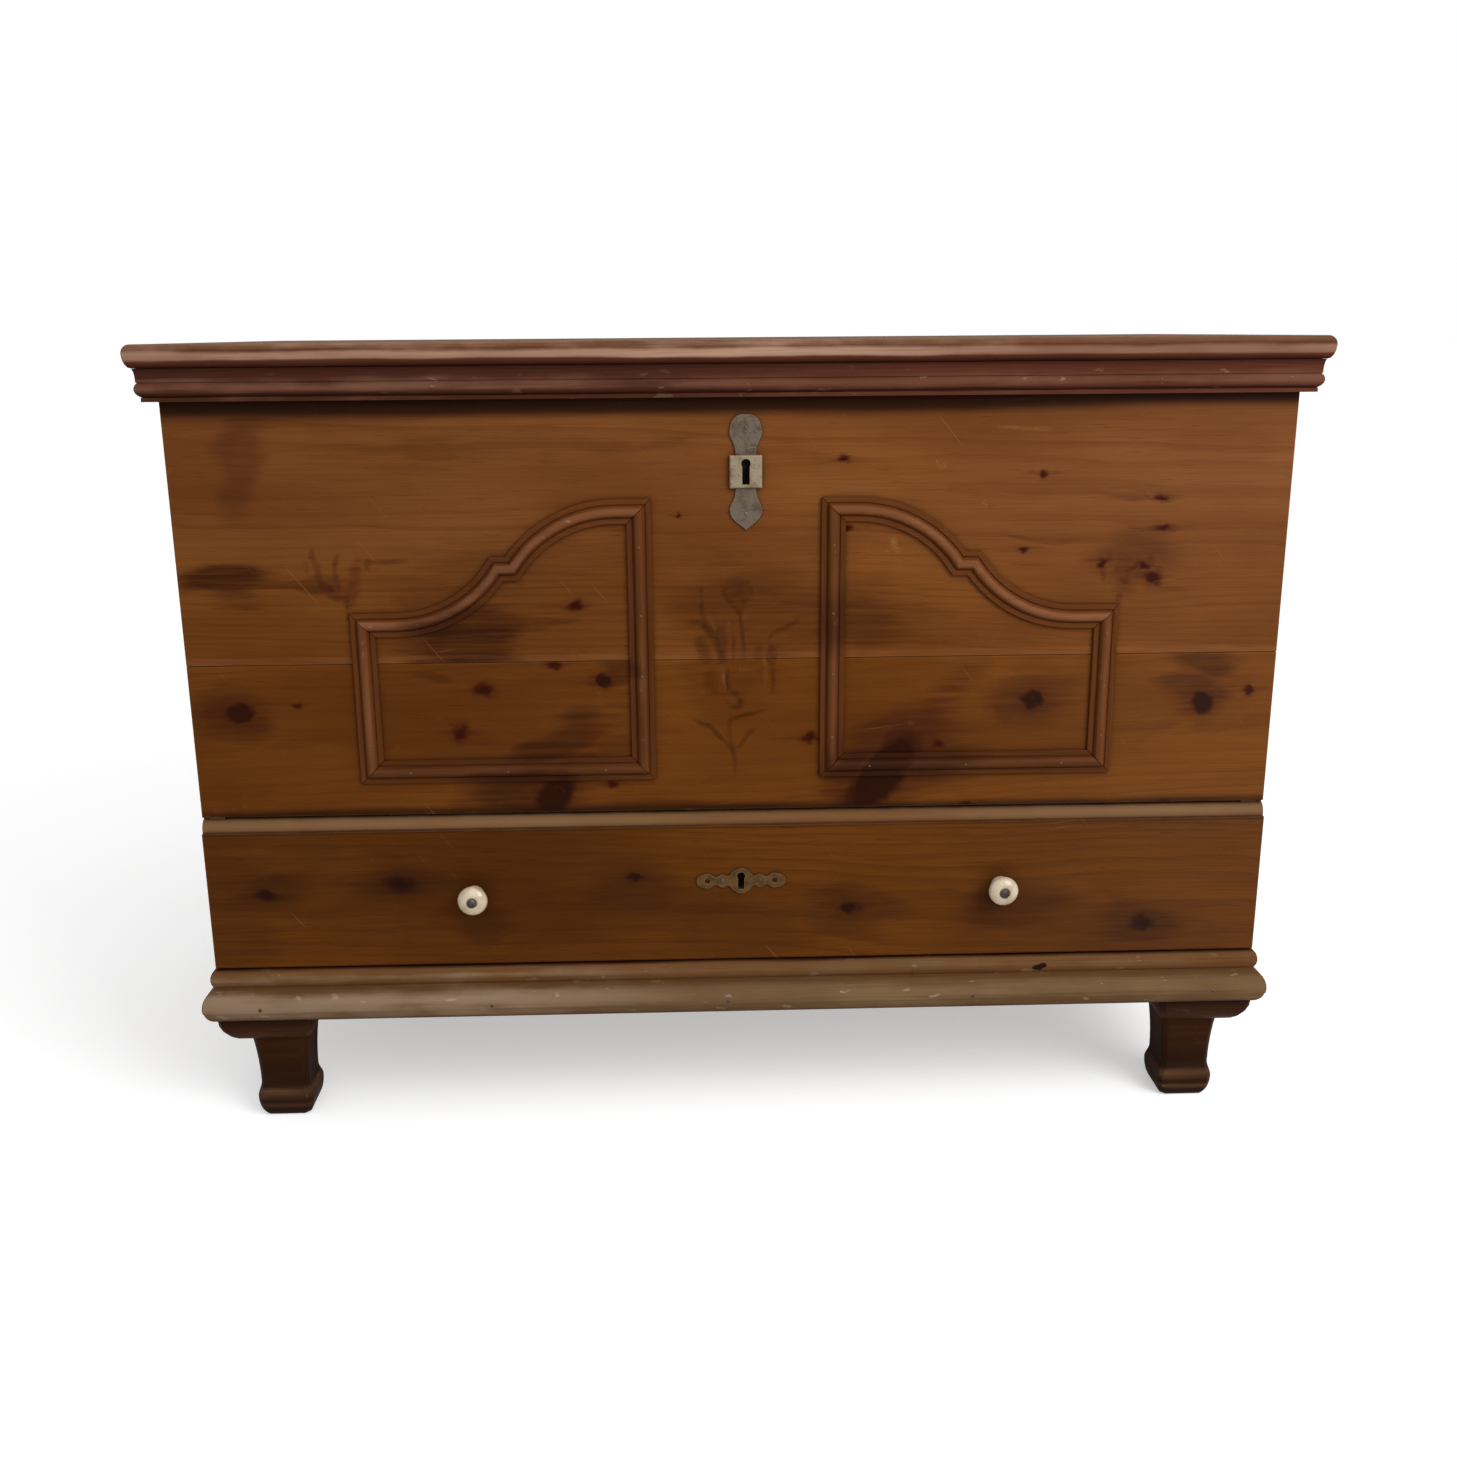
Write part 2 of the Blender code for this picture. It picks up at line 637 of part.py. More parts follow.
def moulding_run(name, profile, side, finish, body="case"):
    """A strip with (reach, z) section points. Reach is measured out from the case, so the corners mitre."""
    if side == "front":
        rings = [[(end * (HALF_WIDTH + reach - GAP), -reach, z) for reach, z in profile]
                 for end in SIDES.values()]
    else:
        sign = SIDES[side]
        front = [(sign * (HALF_WIDTH + reach), -reach, z) for reach, z in profile]
        back = [(sign * (HALF_WIDTH + reach), CASE_DEPTH, z) for reach, z in profile]
        rings = [front, back]
    mesh, place = loft(rings)
    return add_part(name, mesh, place, finish, body)


def plinth_profile():
    """Bead over a narrow neck over a fat torus that has an arris below its middle, with a square back."""
    low = FOOT_HEIGHT + GAP
    bead_centre = (0, PLINTH_TOP - PLINTH_BEAD_RISE)
    bead = oval(bead_centre, PLINTH_BEAD_REACH, PLINTH_BEAD_RISE, 90, PLINTH_BEAD_END_ANGLE, MOULDING_STEPS)
    neck = [(PLINTH_NECK_REACH, PLINTH_TOP - PLINTH_NECK_DROP)]
    torus_centre = (PLINTH_TORUS_SET, low + PLINTH_TORUS_RISE)
    upper = oval(torus_centre, PLINTH_TORUS_REACH, PLINTH_TORUS_RISE,
                 PLINTH_TORUS_START_ANGLE, PLINTH_ARRIS_ANGLE, MOULDING_STEPS)
    lower = oval(torus_centre, PLINTH_TORUS_REACH - PLINTH_ARRIS, PLINTH_TORUS_RISE,
                 PLINTH_UNDER_ARRIS_ANGLE, -90, MOULDING_STEPS)
    back = [(-PLINTH_RAIL_WIDTH, low), (-PLINTH_RAIL_WIDTH, PLINTH_TOP)]
    return bead + neck + upper + lower + back


def rim_profile():
    """Hollow under the lid's edge, then a bead and a small foot, with a flat back that clears the case."""
    cove_centre = (RIM_TOP_REACH, CASE_TOP - RIM_COVE_HEIGHT)
    cove = oval(cove_centre, RIM_TOP_REACH - RIM_COVE_REACH, RIM_COVE_HEIGHT, 90, 180, MOULDING_STEPS)
    foot_top = RIM_BOTTOM + RIM_FOOT_HEIGHT
    bead = arc((RIM_BEAD_SET, foot_top + RIM_BEAD_RADIUS), RIM_BEAD_RADIUS,
               RIM_BEAD_START_ANGLE, RIM_BEAD_END_ANGLE, MOULDING_STEPS)
    neck = [(RIM_COVE_REACH, bead[0][1] + GAP)]
    quirk = [(RIM_FOOT_REACH - RIM_QUIRK, foot_top)]
    foot = [(RIM_FOOT_REACH, foot_top), (RIM_FOOT_REACH, RIM_BOTTOM)]
    back = [(LID_RIM_CLEARANCE, RIM_BOTTOM), (LID_RIM_CLEARANCE, CASE_TOP)]
    return cove + neck + bead + quirk + foot + back


def nose_profile():
    """Edge of the lid boards from the bottom up: undercut, round nose, and a softer round to the top."""
    nose = LID_TOP - LID_NOSE_RISE
    low = CASE_TOP + GAP
    hollow = (LID_OVERHANG - LID_NOSE_UNDERCUT, nose)
    under = oval(hollow, LID_NOSE_UNDERCUT, nose - low, -90, 0, EDGE_STEPS)
    crown = (LID_OVERHANG - LID_TOP_ROUND, nose)
    over = oval(crown, LID_TOP_ROUND, LID_NOSE_RISE, 0, 90, MOULDING_STEPS)
    return under + over[1:]


# Case

def make_case_boards():
    span = (-HALF_WIDTH, HALF_WIDTH)
    faces = (0, FRONT_THICKNESS)
    backs = (BACK_INNER, CASE_DEPTH)
    outlines = {
        "front_board_lower": board_outline(faces, (FRONT_BOTTOM, BOARD_JOINT - GAP), tongue=True),
        "front_board_upper": board_outline(faces, (BOARD_JOINT, CASE_TOP), groove=True),
        "back_board_lower": board_outline(backs, (PLINTH_TOP + GAP, BACK_JOINT - GAP), tongue=True),
        "back_board_upper": board_outline(backs, (BACK_JOINT, CASE_TOP), groove=True),
    }
    boards = {}
    for name, outline in outlines.items():
        finish = "front_pine" if name.startswith("front") else "raw_pine"
        boards[name] = add_part(name, *extruded([outline], "X", span), finish)
    for name, side in SIDES.items():
        side_span = sorted((side * INNER_HALF, side * HALF_WIDTH))
        board = add_part("side_board_" + name, *extruded([side_outline()], "X", side_span), "front_pine")
        boards["side_board_" + name] = board
        sockets = through_span(INNER_HALF, HALF_WIDTH, side)
        front = tail_cutter("front_sockets_" + name, FRONT_TAIL_HEIGHTS, TAIL_WIDTH,
                            FRONT_LAP + GAP, FRONT_THICKNESS + GAP, GAP, sockets)
        back = tail_cutter("back_sockets_" + name, BACK_TAIL_HEIGHTS, TAIL_WIDTH,
                           CASE_DEPTH, BACK_INNER - GAP, OVERSHOOT, sockets)
        cut(boards["front_board_lower"], front)
        cut(boards["front_board_upper"], front)
        cut(boards["back_board_lower"], back)
        cut(boards["back_board_upper"], back)
    return boards


def make_floor(boards):
    """Two floor boards of the chest, housed in grooves round all four walls."""
    half = INNER_HALF + FLOOR_GROOVE
    near = FRONT_THICKNESS - FLOOR_GROOVE
    far = BACK_INNER + FLOOR_GROOVE
    split = near + FLOOR_FRONT_BOARD
    thickness = (FLOOR_BOTTOM, FLOOR_TOP)
    front = board_outline(thickness, (near, split - GAP), tongue=True)
    back = board_outline(thickness, (split, far), groove=True)
    for name, outline in (("chest_floor_front", front), ("chest_floor_back", back)):
        swapped = [(depth, z) for z, depth in outline]
        add_part(name, *extruded([swapped], "X", (-half, half)), "raw_pine")
    spans = ((-half - GAP, half + GAP), (near - GAP, far + GAP), (FLOOR_BOTTOM - GAP, FLOOR_TOP + GAP))
    groove = add_cutter("floor_groove", *box(*spans))
    for name in ("front_board_lower", "side_board_left", "side_board_right", "back_board_lower"):
        cut(boards[name], groove)


def make_plinth():
    """Moulded rails mitred at the front corners, with a plain rail between them at the back."""
    rails = {side: moulding_run("plinth_" + side, plinth_profile(), side, "plinth_pine")
             for side in ("front", "left", "right")}
    half = HALF_WIDTH - PLINTH_RAIL_WIDTH - GAP
    depth = (CASE_DEPTH - PLINTH_RAIL_WIDTH, CASE_DEPTH)
    height = (FOOT_HEIGHT + GAP, PLINTH_TOP)
    rails["back"] = add_part("plinth_back", *box((-half, half), depth, height), "plinth_pine")
    return rails


def make_runners():
    depth = (DRAWER_FRONT_BACK + GAP, BACK_INNER - GAP)
    for name, side in SIDES.items():
        x_span = sorted((side * (INNER_HALF - GAP), side * (INNER_HALF - GAP - RUNNER_WIDTH)))
        add_part("drawer_runner_" + name, *box(x_span, depth, (PLINTH_TOP + GAP, RUNNER_TOP)), "raw_pine")


# Feet

def foot_sections():
    """(height, half width, share of the top bulge) up the foot: pad, hollow waist, bulge under the plinth."""
    pad_core = (FOOT_PAD_HALF - FOOT_PAD_ROUND, FOOT_PAD_MIDDLE)
    pad = oval(pad_core, FOOT_PAD_ROUND, FOOT_PAD_MIDDLE, -90, 0, FOOT_STEPS)
    sections = [(height, half, 0.0) for half, height in pad]
    shaft_top = FOOT_HEIGHT - FOOT_BULGE_HEIGHT
    for step in range(1, FOOT_STEPS):
        share = step / FOOT_STEPS
        into_waist = (1 + cos(pi * share)) / 2
        half = FOOT_WAIST_HALF + (FOOT_PAD_HALF - FOOT_WAIST_HALF) * into_waist
        sections.append((FOOT_PAD_MIDDLE + (FOOT_PAD_HEIGHT - FOOT_PAD_MIDDLE) * share, half, 0.0))
    for step in range(FOOT_STEPS + 1):
        share = step / FOOT_STEPS
        half = FOOT_WAIST_HALF + (FOOT_SHAFT_HALF - FOOT_WAIST_HALF) * share ** 2
        sections.append((FOOT_PAD_HEIGHT + (shaft_top - FOOT_PAD_HEIGHT) * share, half, 0.0))
    for step in range(1, FOOT_STEPS + 1):
        turn = pi / 2 * step / FOOT_STEPS
        sections.append((shaft_top + FOOT_BULGE_HEIGHT * (1 - cos(turn)), FOOT_SHAFT_HALF, sin(turn)))
    return sections


def foot_ring(height, half, bulge, side, front):
    """Chamfered square: the two outer faces swell past the case's own planes, the two inner ones less."""
    outer = (FOOT_INSET - half) * (1 - bulge) - FOOT_BULGE_REACH * bulge
    inner = FOOT_INSET + half + FOOT_BRACKET_REACH * bulge
    cut_back = FOOT_CHAMFER
    corners = [(outer, outer + cut_back), (outer + cut_back, outer), (inner - cut_back, outer),
               (inner, outer + cut_back), (inner, inner - cut_back), (inner - cut_back, inner),
               (outer + cut_back, inner), (outer, inner - cut_back)]
    return [(side * (HALF_WIDTH - across), along if front else CASE_DEPTH - along, height)
            for across, along in corners]


def make_feet(rails):
    """Four feet, each with a dowel up into the rail over it: the front rail, or a side rail at the back."""
    for row, front in (("front", True), ("back", False)):
        for name, side in SIDES.items():
            label = f"foot_{row}_{name}"
            rings = [foot_ring(*section, side, front) for section in foot_sections()]
            foot = add_part(label, *loft(rings), "foot_pine")
            if front:
                centre = (side * (HALF_WIDTH - DOWEL_ALONG), DOWEL_INSET)
                rail = rails["front"]
            else:
                centre = (side * (HALF_WIDTH - DOWEL_INSET), CASE_DEPTH - DOWEL_ALONG)
                rail = rails[name]
            top = FOOT_HEIGHT + DOWEL_LENGTH
            dowel = cylinder(DOWEL_RADIUS, "Z", centre, (FOOT_HEIGHT - OVERSHOOT, top))
            hole = cylinder(DOWEL_RADIUS + GAP, "Z", centre, (FOOT_HEIGHT - OVERSHOOT, top + GAP))
            join(foot, add_cutter(label + "_dowel", *dowel))
            cut(rail, add_cutter(label + "_hole", *hole))


# Arched frames

def strip_section():
    """(across, height) points of the frame moulding: a bead between two flat fillets."""
    half = STRIP_WIDTH / 2
    bead_half = STRIP_BEAD / 2
    rise = STRIP_HEIGHT - STRIP_EDGE + STRIP_QUIRK
    floor = STRIP_EDGE - STRIP_QUIRK
    bead = oval((0, floor), bead_half, rise, 180, 0, MOULDING_STEPS)
    lip = bead_half + STRIP_QUIRK
    return ([(-half, 0.0), (-half, STRIP_EDGE), (-lip, STRIP_EDGE)] + bead
            + [(lip, STRIP_EDGE), (half, STRIP_EDGE), (half, 0.0)])


def arch_path():
    """Middle line of the arched top, from the tall inner corner to the low outer one, as (x, z) points."""
    radius = (FRAME_TOP - FRAME_SHOULDER) / (2 * (1 - cos(FRAME_SWEEP)))
    sweep = degrees(FRAME_SWEEP)
    crown = (FRAME_INNER_X + FRAME_INNER_FLAT, FRAME_TOP - radius)
    falling = arc(crown, radius, 90, 90 - sweep, FRAME_ARC_STEPS)
    ledge_end = (falling[-1][0] + FRAME_LEDGE, falling[-1][1])
    hollow = (ledge_end[0] + radius * sin(FRAME_SWEEP), ledge_end[1] + radius * cos(FRAME_SWEEP))
    rising = arc(hollow, radius, 270 - sweep, 270, FRAME_ARC_STEPS)
    return [(FRAME_INNER_X, FRAME_TOP)] + falling + rising + [(FRAME_OUTER_X, FRAME_SHOULDER)]


def directions(path):
    return [(Vector(after) - Vector(before)).normalized() for before, after in zip(path, path[1:])]


def strip_rings(path, before, after, mirror):
    """Sections along a path, mitred to the strips before and after it and held a gap apart from them."""
    headings = [before] + directions(path) + [after]
    rings = []
    for index, point in enumerate(path):
        first, second = headings[index], headings[index + 1]
        normals = [Vector((-heading.y, heading.x)) for heading in (first, second)]
        mitre = (normals[0] + normals[1]) / (1 + normals[0].dot(normals[1]))
        spot = Vector(point)
        if index == 0:
            spot += second * GAP
        if index == len(path) - 1:
            spot -= first * GAP
        places = [(spot + mitre * across, height) for across, height in strip_section()]
        rings.append([(mirror * place.x, -GAP - height, place.y) for place, height in places])
    return rings


def make_frames():
    low_inner = (FRAME_INNER_X, FRAME_BOTTOM)
    low_outer = (FRAME_OUTER_X, FRAME_BOTTOM)
    arch = arch_path()
    runs = [("frame_stile_inner", [low_inner, arch[0]]), ("frame_arch", arch),
            ("frame_stile_outer", [arch[-1], low_outer]), ("frame_rail", [low_outer, low_inner])]
    for index, (label, path) in enumerate(runs):
        before = directions(runs[index - 1][1])[-1]
        after = directions(runs[(index + 1) % len(runs)][1])[0]
        for name, side in SIDES.items():
            add_part(f"{label}_{name}", *loft(strip_rings(path, before, after, side)), "frame_pine")


# Lid

def lid_ring(half, near, far, z):
    return [(-half, near, z), (half, near, z), (half, far, z), (-half, far, z)]


def make_lid():
    split = LID_FRONT_BOARD - LID_OVERHANG
    front_rings = []
    back_rings = []
    for reach, z in nose_profile():
        front_rings.append(lid_ring(HALF_WIDTH + reach, -reach, split - GAP, z))
        back_rings.append(lid_ring(HALF_WIDTH + reach, split, CASE_DEPTH, z))
    add_part("lid_board_front", *loft(front_rings), "lid_pine", "lid")
    add_part("lid_board_back", *loft(back_rings), "lid_pine", "lid")
    for side in ("front", "left", "right"):
        moulding_run("lid_rim_" + side, rim_profile(), side, "rim_pine", "lid")


# Hinges

def make_hinges(boards):
    axis = (HINGE_AXIS_DEPTH, HINGE_AXIS_HEIGHT)
    bore = circle(axis, HINGE_PIN_RADIUS + GAP, HINGE_STEPS)
    for name, side in SIDES.items():
        middle = side * HINGE_X
        make_case_leaf(name, middle, axis, bore)
        make_strap(name, middle, axis, bore, boards["back_board_upper"])
        make_pin(name, middle, axis)


def make_case_leaf(name, middle, axis, bore):
    """Plate down the outside of the back, with a knuckle at each end of its top edge."""
    plate_back = axis[0] - HINGE_BARREL_RADIUS + HINGE_METAL
    across = plate_back - axis[0]
    meet = degrees(atan2(-sqrt(HINGE_BARREL_RADIUS ** 2 - across ** 2), across))
    low = axis[1] - HINGE_LEAF_HEIGHT
    outline = arc(axis, HINGE_BARREL_RADIUS, 180, meet, HINGE_STEPS)
    outline += [(plate_back, low), (axis[0] - HINGE_BARREL_RADIUS, low)]
    span = (middle - HINGE_LEAF_WIDTH / 2, middle + HINGE_LEAF_WIDTH / 2)
    leaf = add_part("hinge_leaf_" + name, *extruded([outline, bore], "X", span), "iron")
    clear = HINGE_STRAP_WIDTH / 2 + GAP
    reach = HINGE_BARREL_RADIUS + 2 * GAP
    notch_spans = ((middle - clear, middle + clear), (axis[0] - reach, axis[0] + reach),
                   (axis[1] - reach, axis[1] + reach))
    cut(leaf, add_cutter("hinge_notch_" + name, *box(*notch_spans)))


def make_strap(name, middle, axis, bore, back_board):
    """Tapering strap under the lid with a round end, rolled round the pin at the back."""
    half = HINGE_STRAP_WIDTH / 2
    low = CASE_TOP - HINGE_METAL
    disc = (middle, axis[0] - HINGE_STRAP_LENGTH)
    tip = disc[1] - HINGE_STRAP_DISC - OVERSHOOT
    rise = low - axis[1]
    lean = 180 - degrees(atan2(rise, sqrt(HINGE_BARREL_RADIUS ** 2 - rise ** 2)))
    rolled = arc(axis, HINGE_BARREL_RADIUS, 90, lean - 360, HINGE_STEPS) + [(tip, low), (tip, CASE_TOP)]
    wide = max(half, HINGE_STRAP_DISC) + OVERSHOOT
    bar = extruded([rolled, bore], "X", (middle - wide, middle + wide))
    strap = add_part("hinge_strap_" + name, *bar, "iron", "lid")
    tip_rise = sqrt(HINGE_STRAP_DISC ** 2 - HINGE_STRAP_TIP_HALF ** 2)
    meet = degrees(atan2(tip_rise, HINGE_STRAP_TIP_HALF))
    back = axis[0] + HINGE_BARREL_RADIUS + OVERSHOOT
    root = axis[0] - HINGE_BARREL_RADIUS
    plan = [(middle - half, root), (middle - half, back), (middle + half, back), (middle + half, root)]
    plan += arc(disc, HINGE_STRAP_DISC, meet, -180 - meet, HINGE_STEPS)
    shape = extruded([plan], "Z", (axis[1] - 2 * HINGE_BARREL_RADIUS, CASE_TOP + OVERSHOOT))
    boolean(strap, add_cutter("strap_plan_" + name, *shape), "INTERSECT")
    notch = ((middle - half - GAP, middle + half + GAP),
             (BACK_INNER - OVERSHOOT, CASE_DEPTH + OVERSHOOT), (low - GAP, CASE_TOP + OVERSHOOT))
    cut(back_board, add_cutter("strap_notch_" + name, *box(*notch)))


def make_pin(name, middle, axis):
    """Pin with a head at each end, along X."""
    half = HINGE_LEAF_WIDTH / 2 + GAP
    end = half + HINGE_PIN_HEAD
    head = [(0, end), (HINGE_PIN_HEAD_RADIUS, end), (HINGE_PIN_HEAD_RADIUS, half), (HINGE_PIN_RADIUS, half)]
    profile = head + [(radius, -height) for radius, height in reversed(head)]
    place = Matrix.Translation((middle, FACE_Y + axis[0], axis[1])) @ Matrix.Rotation(pi / 2, 4, "Y")
    turned("hinge_pin_" + name, profile, place, "iron", "case", HINGE_STEPS)


# Lock of the lid

def plate_outline():
    """Escutcheon with a round head, two necks and a pointed foot, as (x, z) points about the keyhole."""
    head = PLATE_ABOVE_KEYHOLE
    foot = -PLATE_BELOW_KEYHOLE
    neck = SQUARE_SIZE / 2 + PLATE_NECK_RISE
    right = [(PLATE_CROWN_HALF, head - PLATE_CROWN_DROP), (PLATE_HALF_WIDTH, head - PLATE_EAR_DROP),
             (PLATE_NECK_HALF, neck), (PLATE_NECK_HALF, -neck), (PLATE_HALF_WIDTH, foot + PLATE_TIP_RISE)]
    left = [(-x, z) for x, z in reversed(right)]
    outline = [(0, head)] + right + [(0, foot, "corner")] + left
    return [(LOCK_X + x, LOCK_KEYHOLE_HEIGHT + z, *corner) for x, z, *corner in outline]


def make_lid_lock(boards):
    plate_back = -GAP
    plate_front = plate_back - PLATE_THICKNESS
    key_span = (-OVERSHOOT, FRONT_THICKNESS + KEYHOLE_DEPTH_IN_LOCK)
    key_way = add_cutter("lid_key_way", *extruded([lid_keyhole(GAP)], "Y", key_span))
    cut(boards["front_board_upper"], key_way)
    plate_shape = extruded([plate_outline()], "Y", (plate_front, plate_back), smooth=True)
    plate = add_part("lid_lock_plate", *plate_shape, "plate_iron")
    plate_way = extruded([lid_keyhole()], "Y", (plate_front - OVERSHOOT, OVERSHOOT))
    plate_cutter = add_cutter("lid_plate_way", *plate_way)
    cut(plate, plate_cutter)
    make_square(plate_front - GAP, plate_cutter)
    make_lid_lock_case(key_way)
    make_staple()


def make_square(back, plate_cutter):
    """Raised square round the keyhole, with its front edges sloped off."""
    front = back - SQUARE_THICKNESS
    edge = SQUARE_SIZE / 2
    sizes = [(back, edge), (front + SQUARE_BEVEL, edge), (front, edge - SQUARE_BEVEL)]
    rings = [[(LOCK_X + x * half, depth, LOCK_KEYHOLE_HEIGHT + z * half)
              for x, z in ((-1, -1), (1, -1), (1, 1), (-1, 1))] for depth, half in sizes]
    square = add_part("lid_lock_square", *loft(rings), "plate_iron")
    cut(square, plate_cutter)


def make_lid_lock_case(key_way):
    """Lock body behind the front board, with a slot for the staple and a channel for the bolt."""
    half = LOCK_WIDTH / 2
    bottom = LOCK_KEYHOLE_HEIGHT - LOCK_BELOW_KEYHOLE
    depth = (FRONT_THICKNESS + GAP, FRONT_THICKNESS + GAP + LOCK_DEPTH)
    case = add_part("lid_lock_case", *box((LOCK_X - half, LOCK_X + half), depth, (bottom, LOCK_TOP)), "iron")
    bolt_height = CASE_TOP - BOLT_DROP
    bolt_start = LOCK_X + STAPLE_THICKNESS / 2 + STAPLE_CLEARANCE + BOLT_SETBACK
    bolt_spans = ((bolt_start, bolt_start + BOLT_LENGTH),
                  (LOCK_MIDDLE_DEPTH - BOLT_THICKNESS / 2, LOCK_MIDDLE_DEPTH + BOLT_THICKNESS / 2),
                  (bolt_height - BOLT_HEIGHT / 2, bolt_height + BOLT_HEIGHT / 2))
    add_part("lid_lock_bolt", *box(*bolt_spans), "iron", "lid_bolt")
    channel_spans = [(low - GAP, high + GAP) for low, high in bolt_spans]
    channel_spans[0] = (bolt_start - BOLT_THROW - GAP, channel_spans[0][1])
    tongue_half = BOLT_THICKNESS / 2 + STAPLE_EYE_CLEARANCE + STAPLE_WALL + STAPLE_CLEARANCE
    slot_half = STAPLE_THICKNESS / 2 + STAPLE_CLEARANCE
    slot_spans = ((LOCK_X - slot_half, LOCK_X + slot_half),
                  (LOCK_MIDDLE_DEPTH - tongue_half, LOCK_MIDDLE_DEPTH + tongue_half),
                  (staple_bottom() - STAPLE_CLEARANCE, LOCK_TOP + OVERSHOOT))
    channel = add_cutter("lid_bolt_channel", *box(*channel_spans))
    slot = add_cutter("staple_slot", *box(*slot_spans))
    cut(case, key_way, channel, slot)


def staple_bottom():
    return CASE_TOP - BOLT_DROP - BOLT_HEIGHT / 2 - STAPLE_EYE_CLEARANCE - STAPLE_WALL


def make_staple():
    """Plate under the lid with a tongue whose eye the bolt shoots through."""
    eye_half = BOLT_THICKNESS / 2 + STAPLE_EYE_CLEARANCE
    tongue_half = eye_half + STAPLE_WALL
    middle = LOCK_MIDDLE_DEPTH
    bolt_height = CASE_TOP - BOLT_DROP
    eye_rise = BOLT_HEIGHT / 2 + STAPLE_EYE_CLEARANCE
    outer = [(middle - tongue_half, staple_bottom()), (middle + tongue_half, staple_bottom()),
             (middle + tongue_half, CASE_TOP - GAP), (middle - tongue_half, CASE_TOP - GAP)]
    eye = [(middle - eye_half, bolt_height - eye_rise), (middle + eye_half, bolt_height - eye_rise),
           (middle + eye_half, bolt_height + eye_rise), (middle - eye_half, bolt_height + eye_rise)]
    half = STAPLE_THICKNESS / 2
    tongue = add_cutter("staple_tongue", *extruded([outer, eye], "X", (LOCK_X - half, LOCK_X + half)))
    wide, deep = STAPLE_PLATE
    spans = ((LOCK_X - wide / 2, LOCK_X + wide / 2), (middle - deep / 2, middle + deep / 2),
             (CASE_TOP - STAPLE_PLATE_THICKNESS, CASE_TOP))
    join(add_part("lid_lock_staple", *box(*spans), "iron", "lid"), tongue)


# Drawer

def drawer_front_outline():
    """Section of the drawer front: an ovolo and a fillet along the top, and a small round below."""
    top = DRAWER_TOP_EDGE
    low = DRAWER_BOTTOM_EDGE
    ovolo_centre = (DRAWER_FACE + DRAWER_FILLET + DRAWER_OVOLO, top - DRAWER_OVOLO)
    ovolo = arc(ovolo_centre, DRAWER_OVOLO, 180, 90, MOULDING_STEPS)
    fillet_low = top - DRAWER_OVOLO - DRAWER_FILLET
    fillet = [(DRAWER_FACE, fillet_low), (ovolo[0][0], fillet_low)]
    round_centre = (DRAWER_FACE + DRAWER_EDGE_ROUND, low + DRAWER_EDGE_ROUND)
    bottom = arc(round_centre, DRAWER_EDGE_ROUND, 270, 180, EDGE_STEPS)
    return bottom + fillet + ovolo + [(DRAWER_FRONT_BACK, top), (DRAWER_FRONT_BACK, low)]


def drawer_side_outline():
    shoulder = DRAWER_FRONT_BACK + GAP
    back_shoulder = DRAWER_END - DRAWER_BACK_THICKNESS - GAP
    outline = [(shoulder, DRAWER_SIDE_BOTTOM)]
    for height in DRAWER_FRONT_TAILS:
        outline += tail(height, DRAWER_TAIL_WIDTH, DRAWER_LIP_BACK + GAP, shoulder)
    outline += [(shoulder, DRAWER_SIDE_TOP), (back_shoulder, DRAWER_SIDE_TOP)]
    for height in reversed(DRAWER_BACK_TAILS):
        outline += reversed(tail(height, DRAWER_TAIL_WIDTH, DRAWER_END, back_shoulder))
    low = DRAWER_BACK_LOW - GAP
    return outline + [(back_shoulder, low), (DRAWER_END, low), (DRAWER_END, DRAWER_SIDE_BOTTOM)]


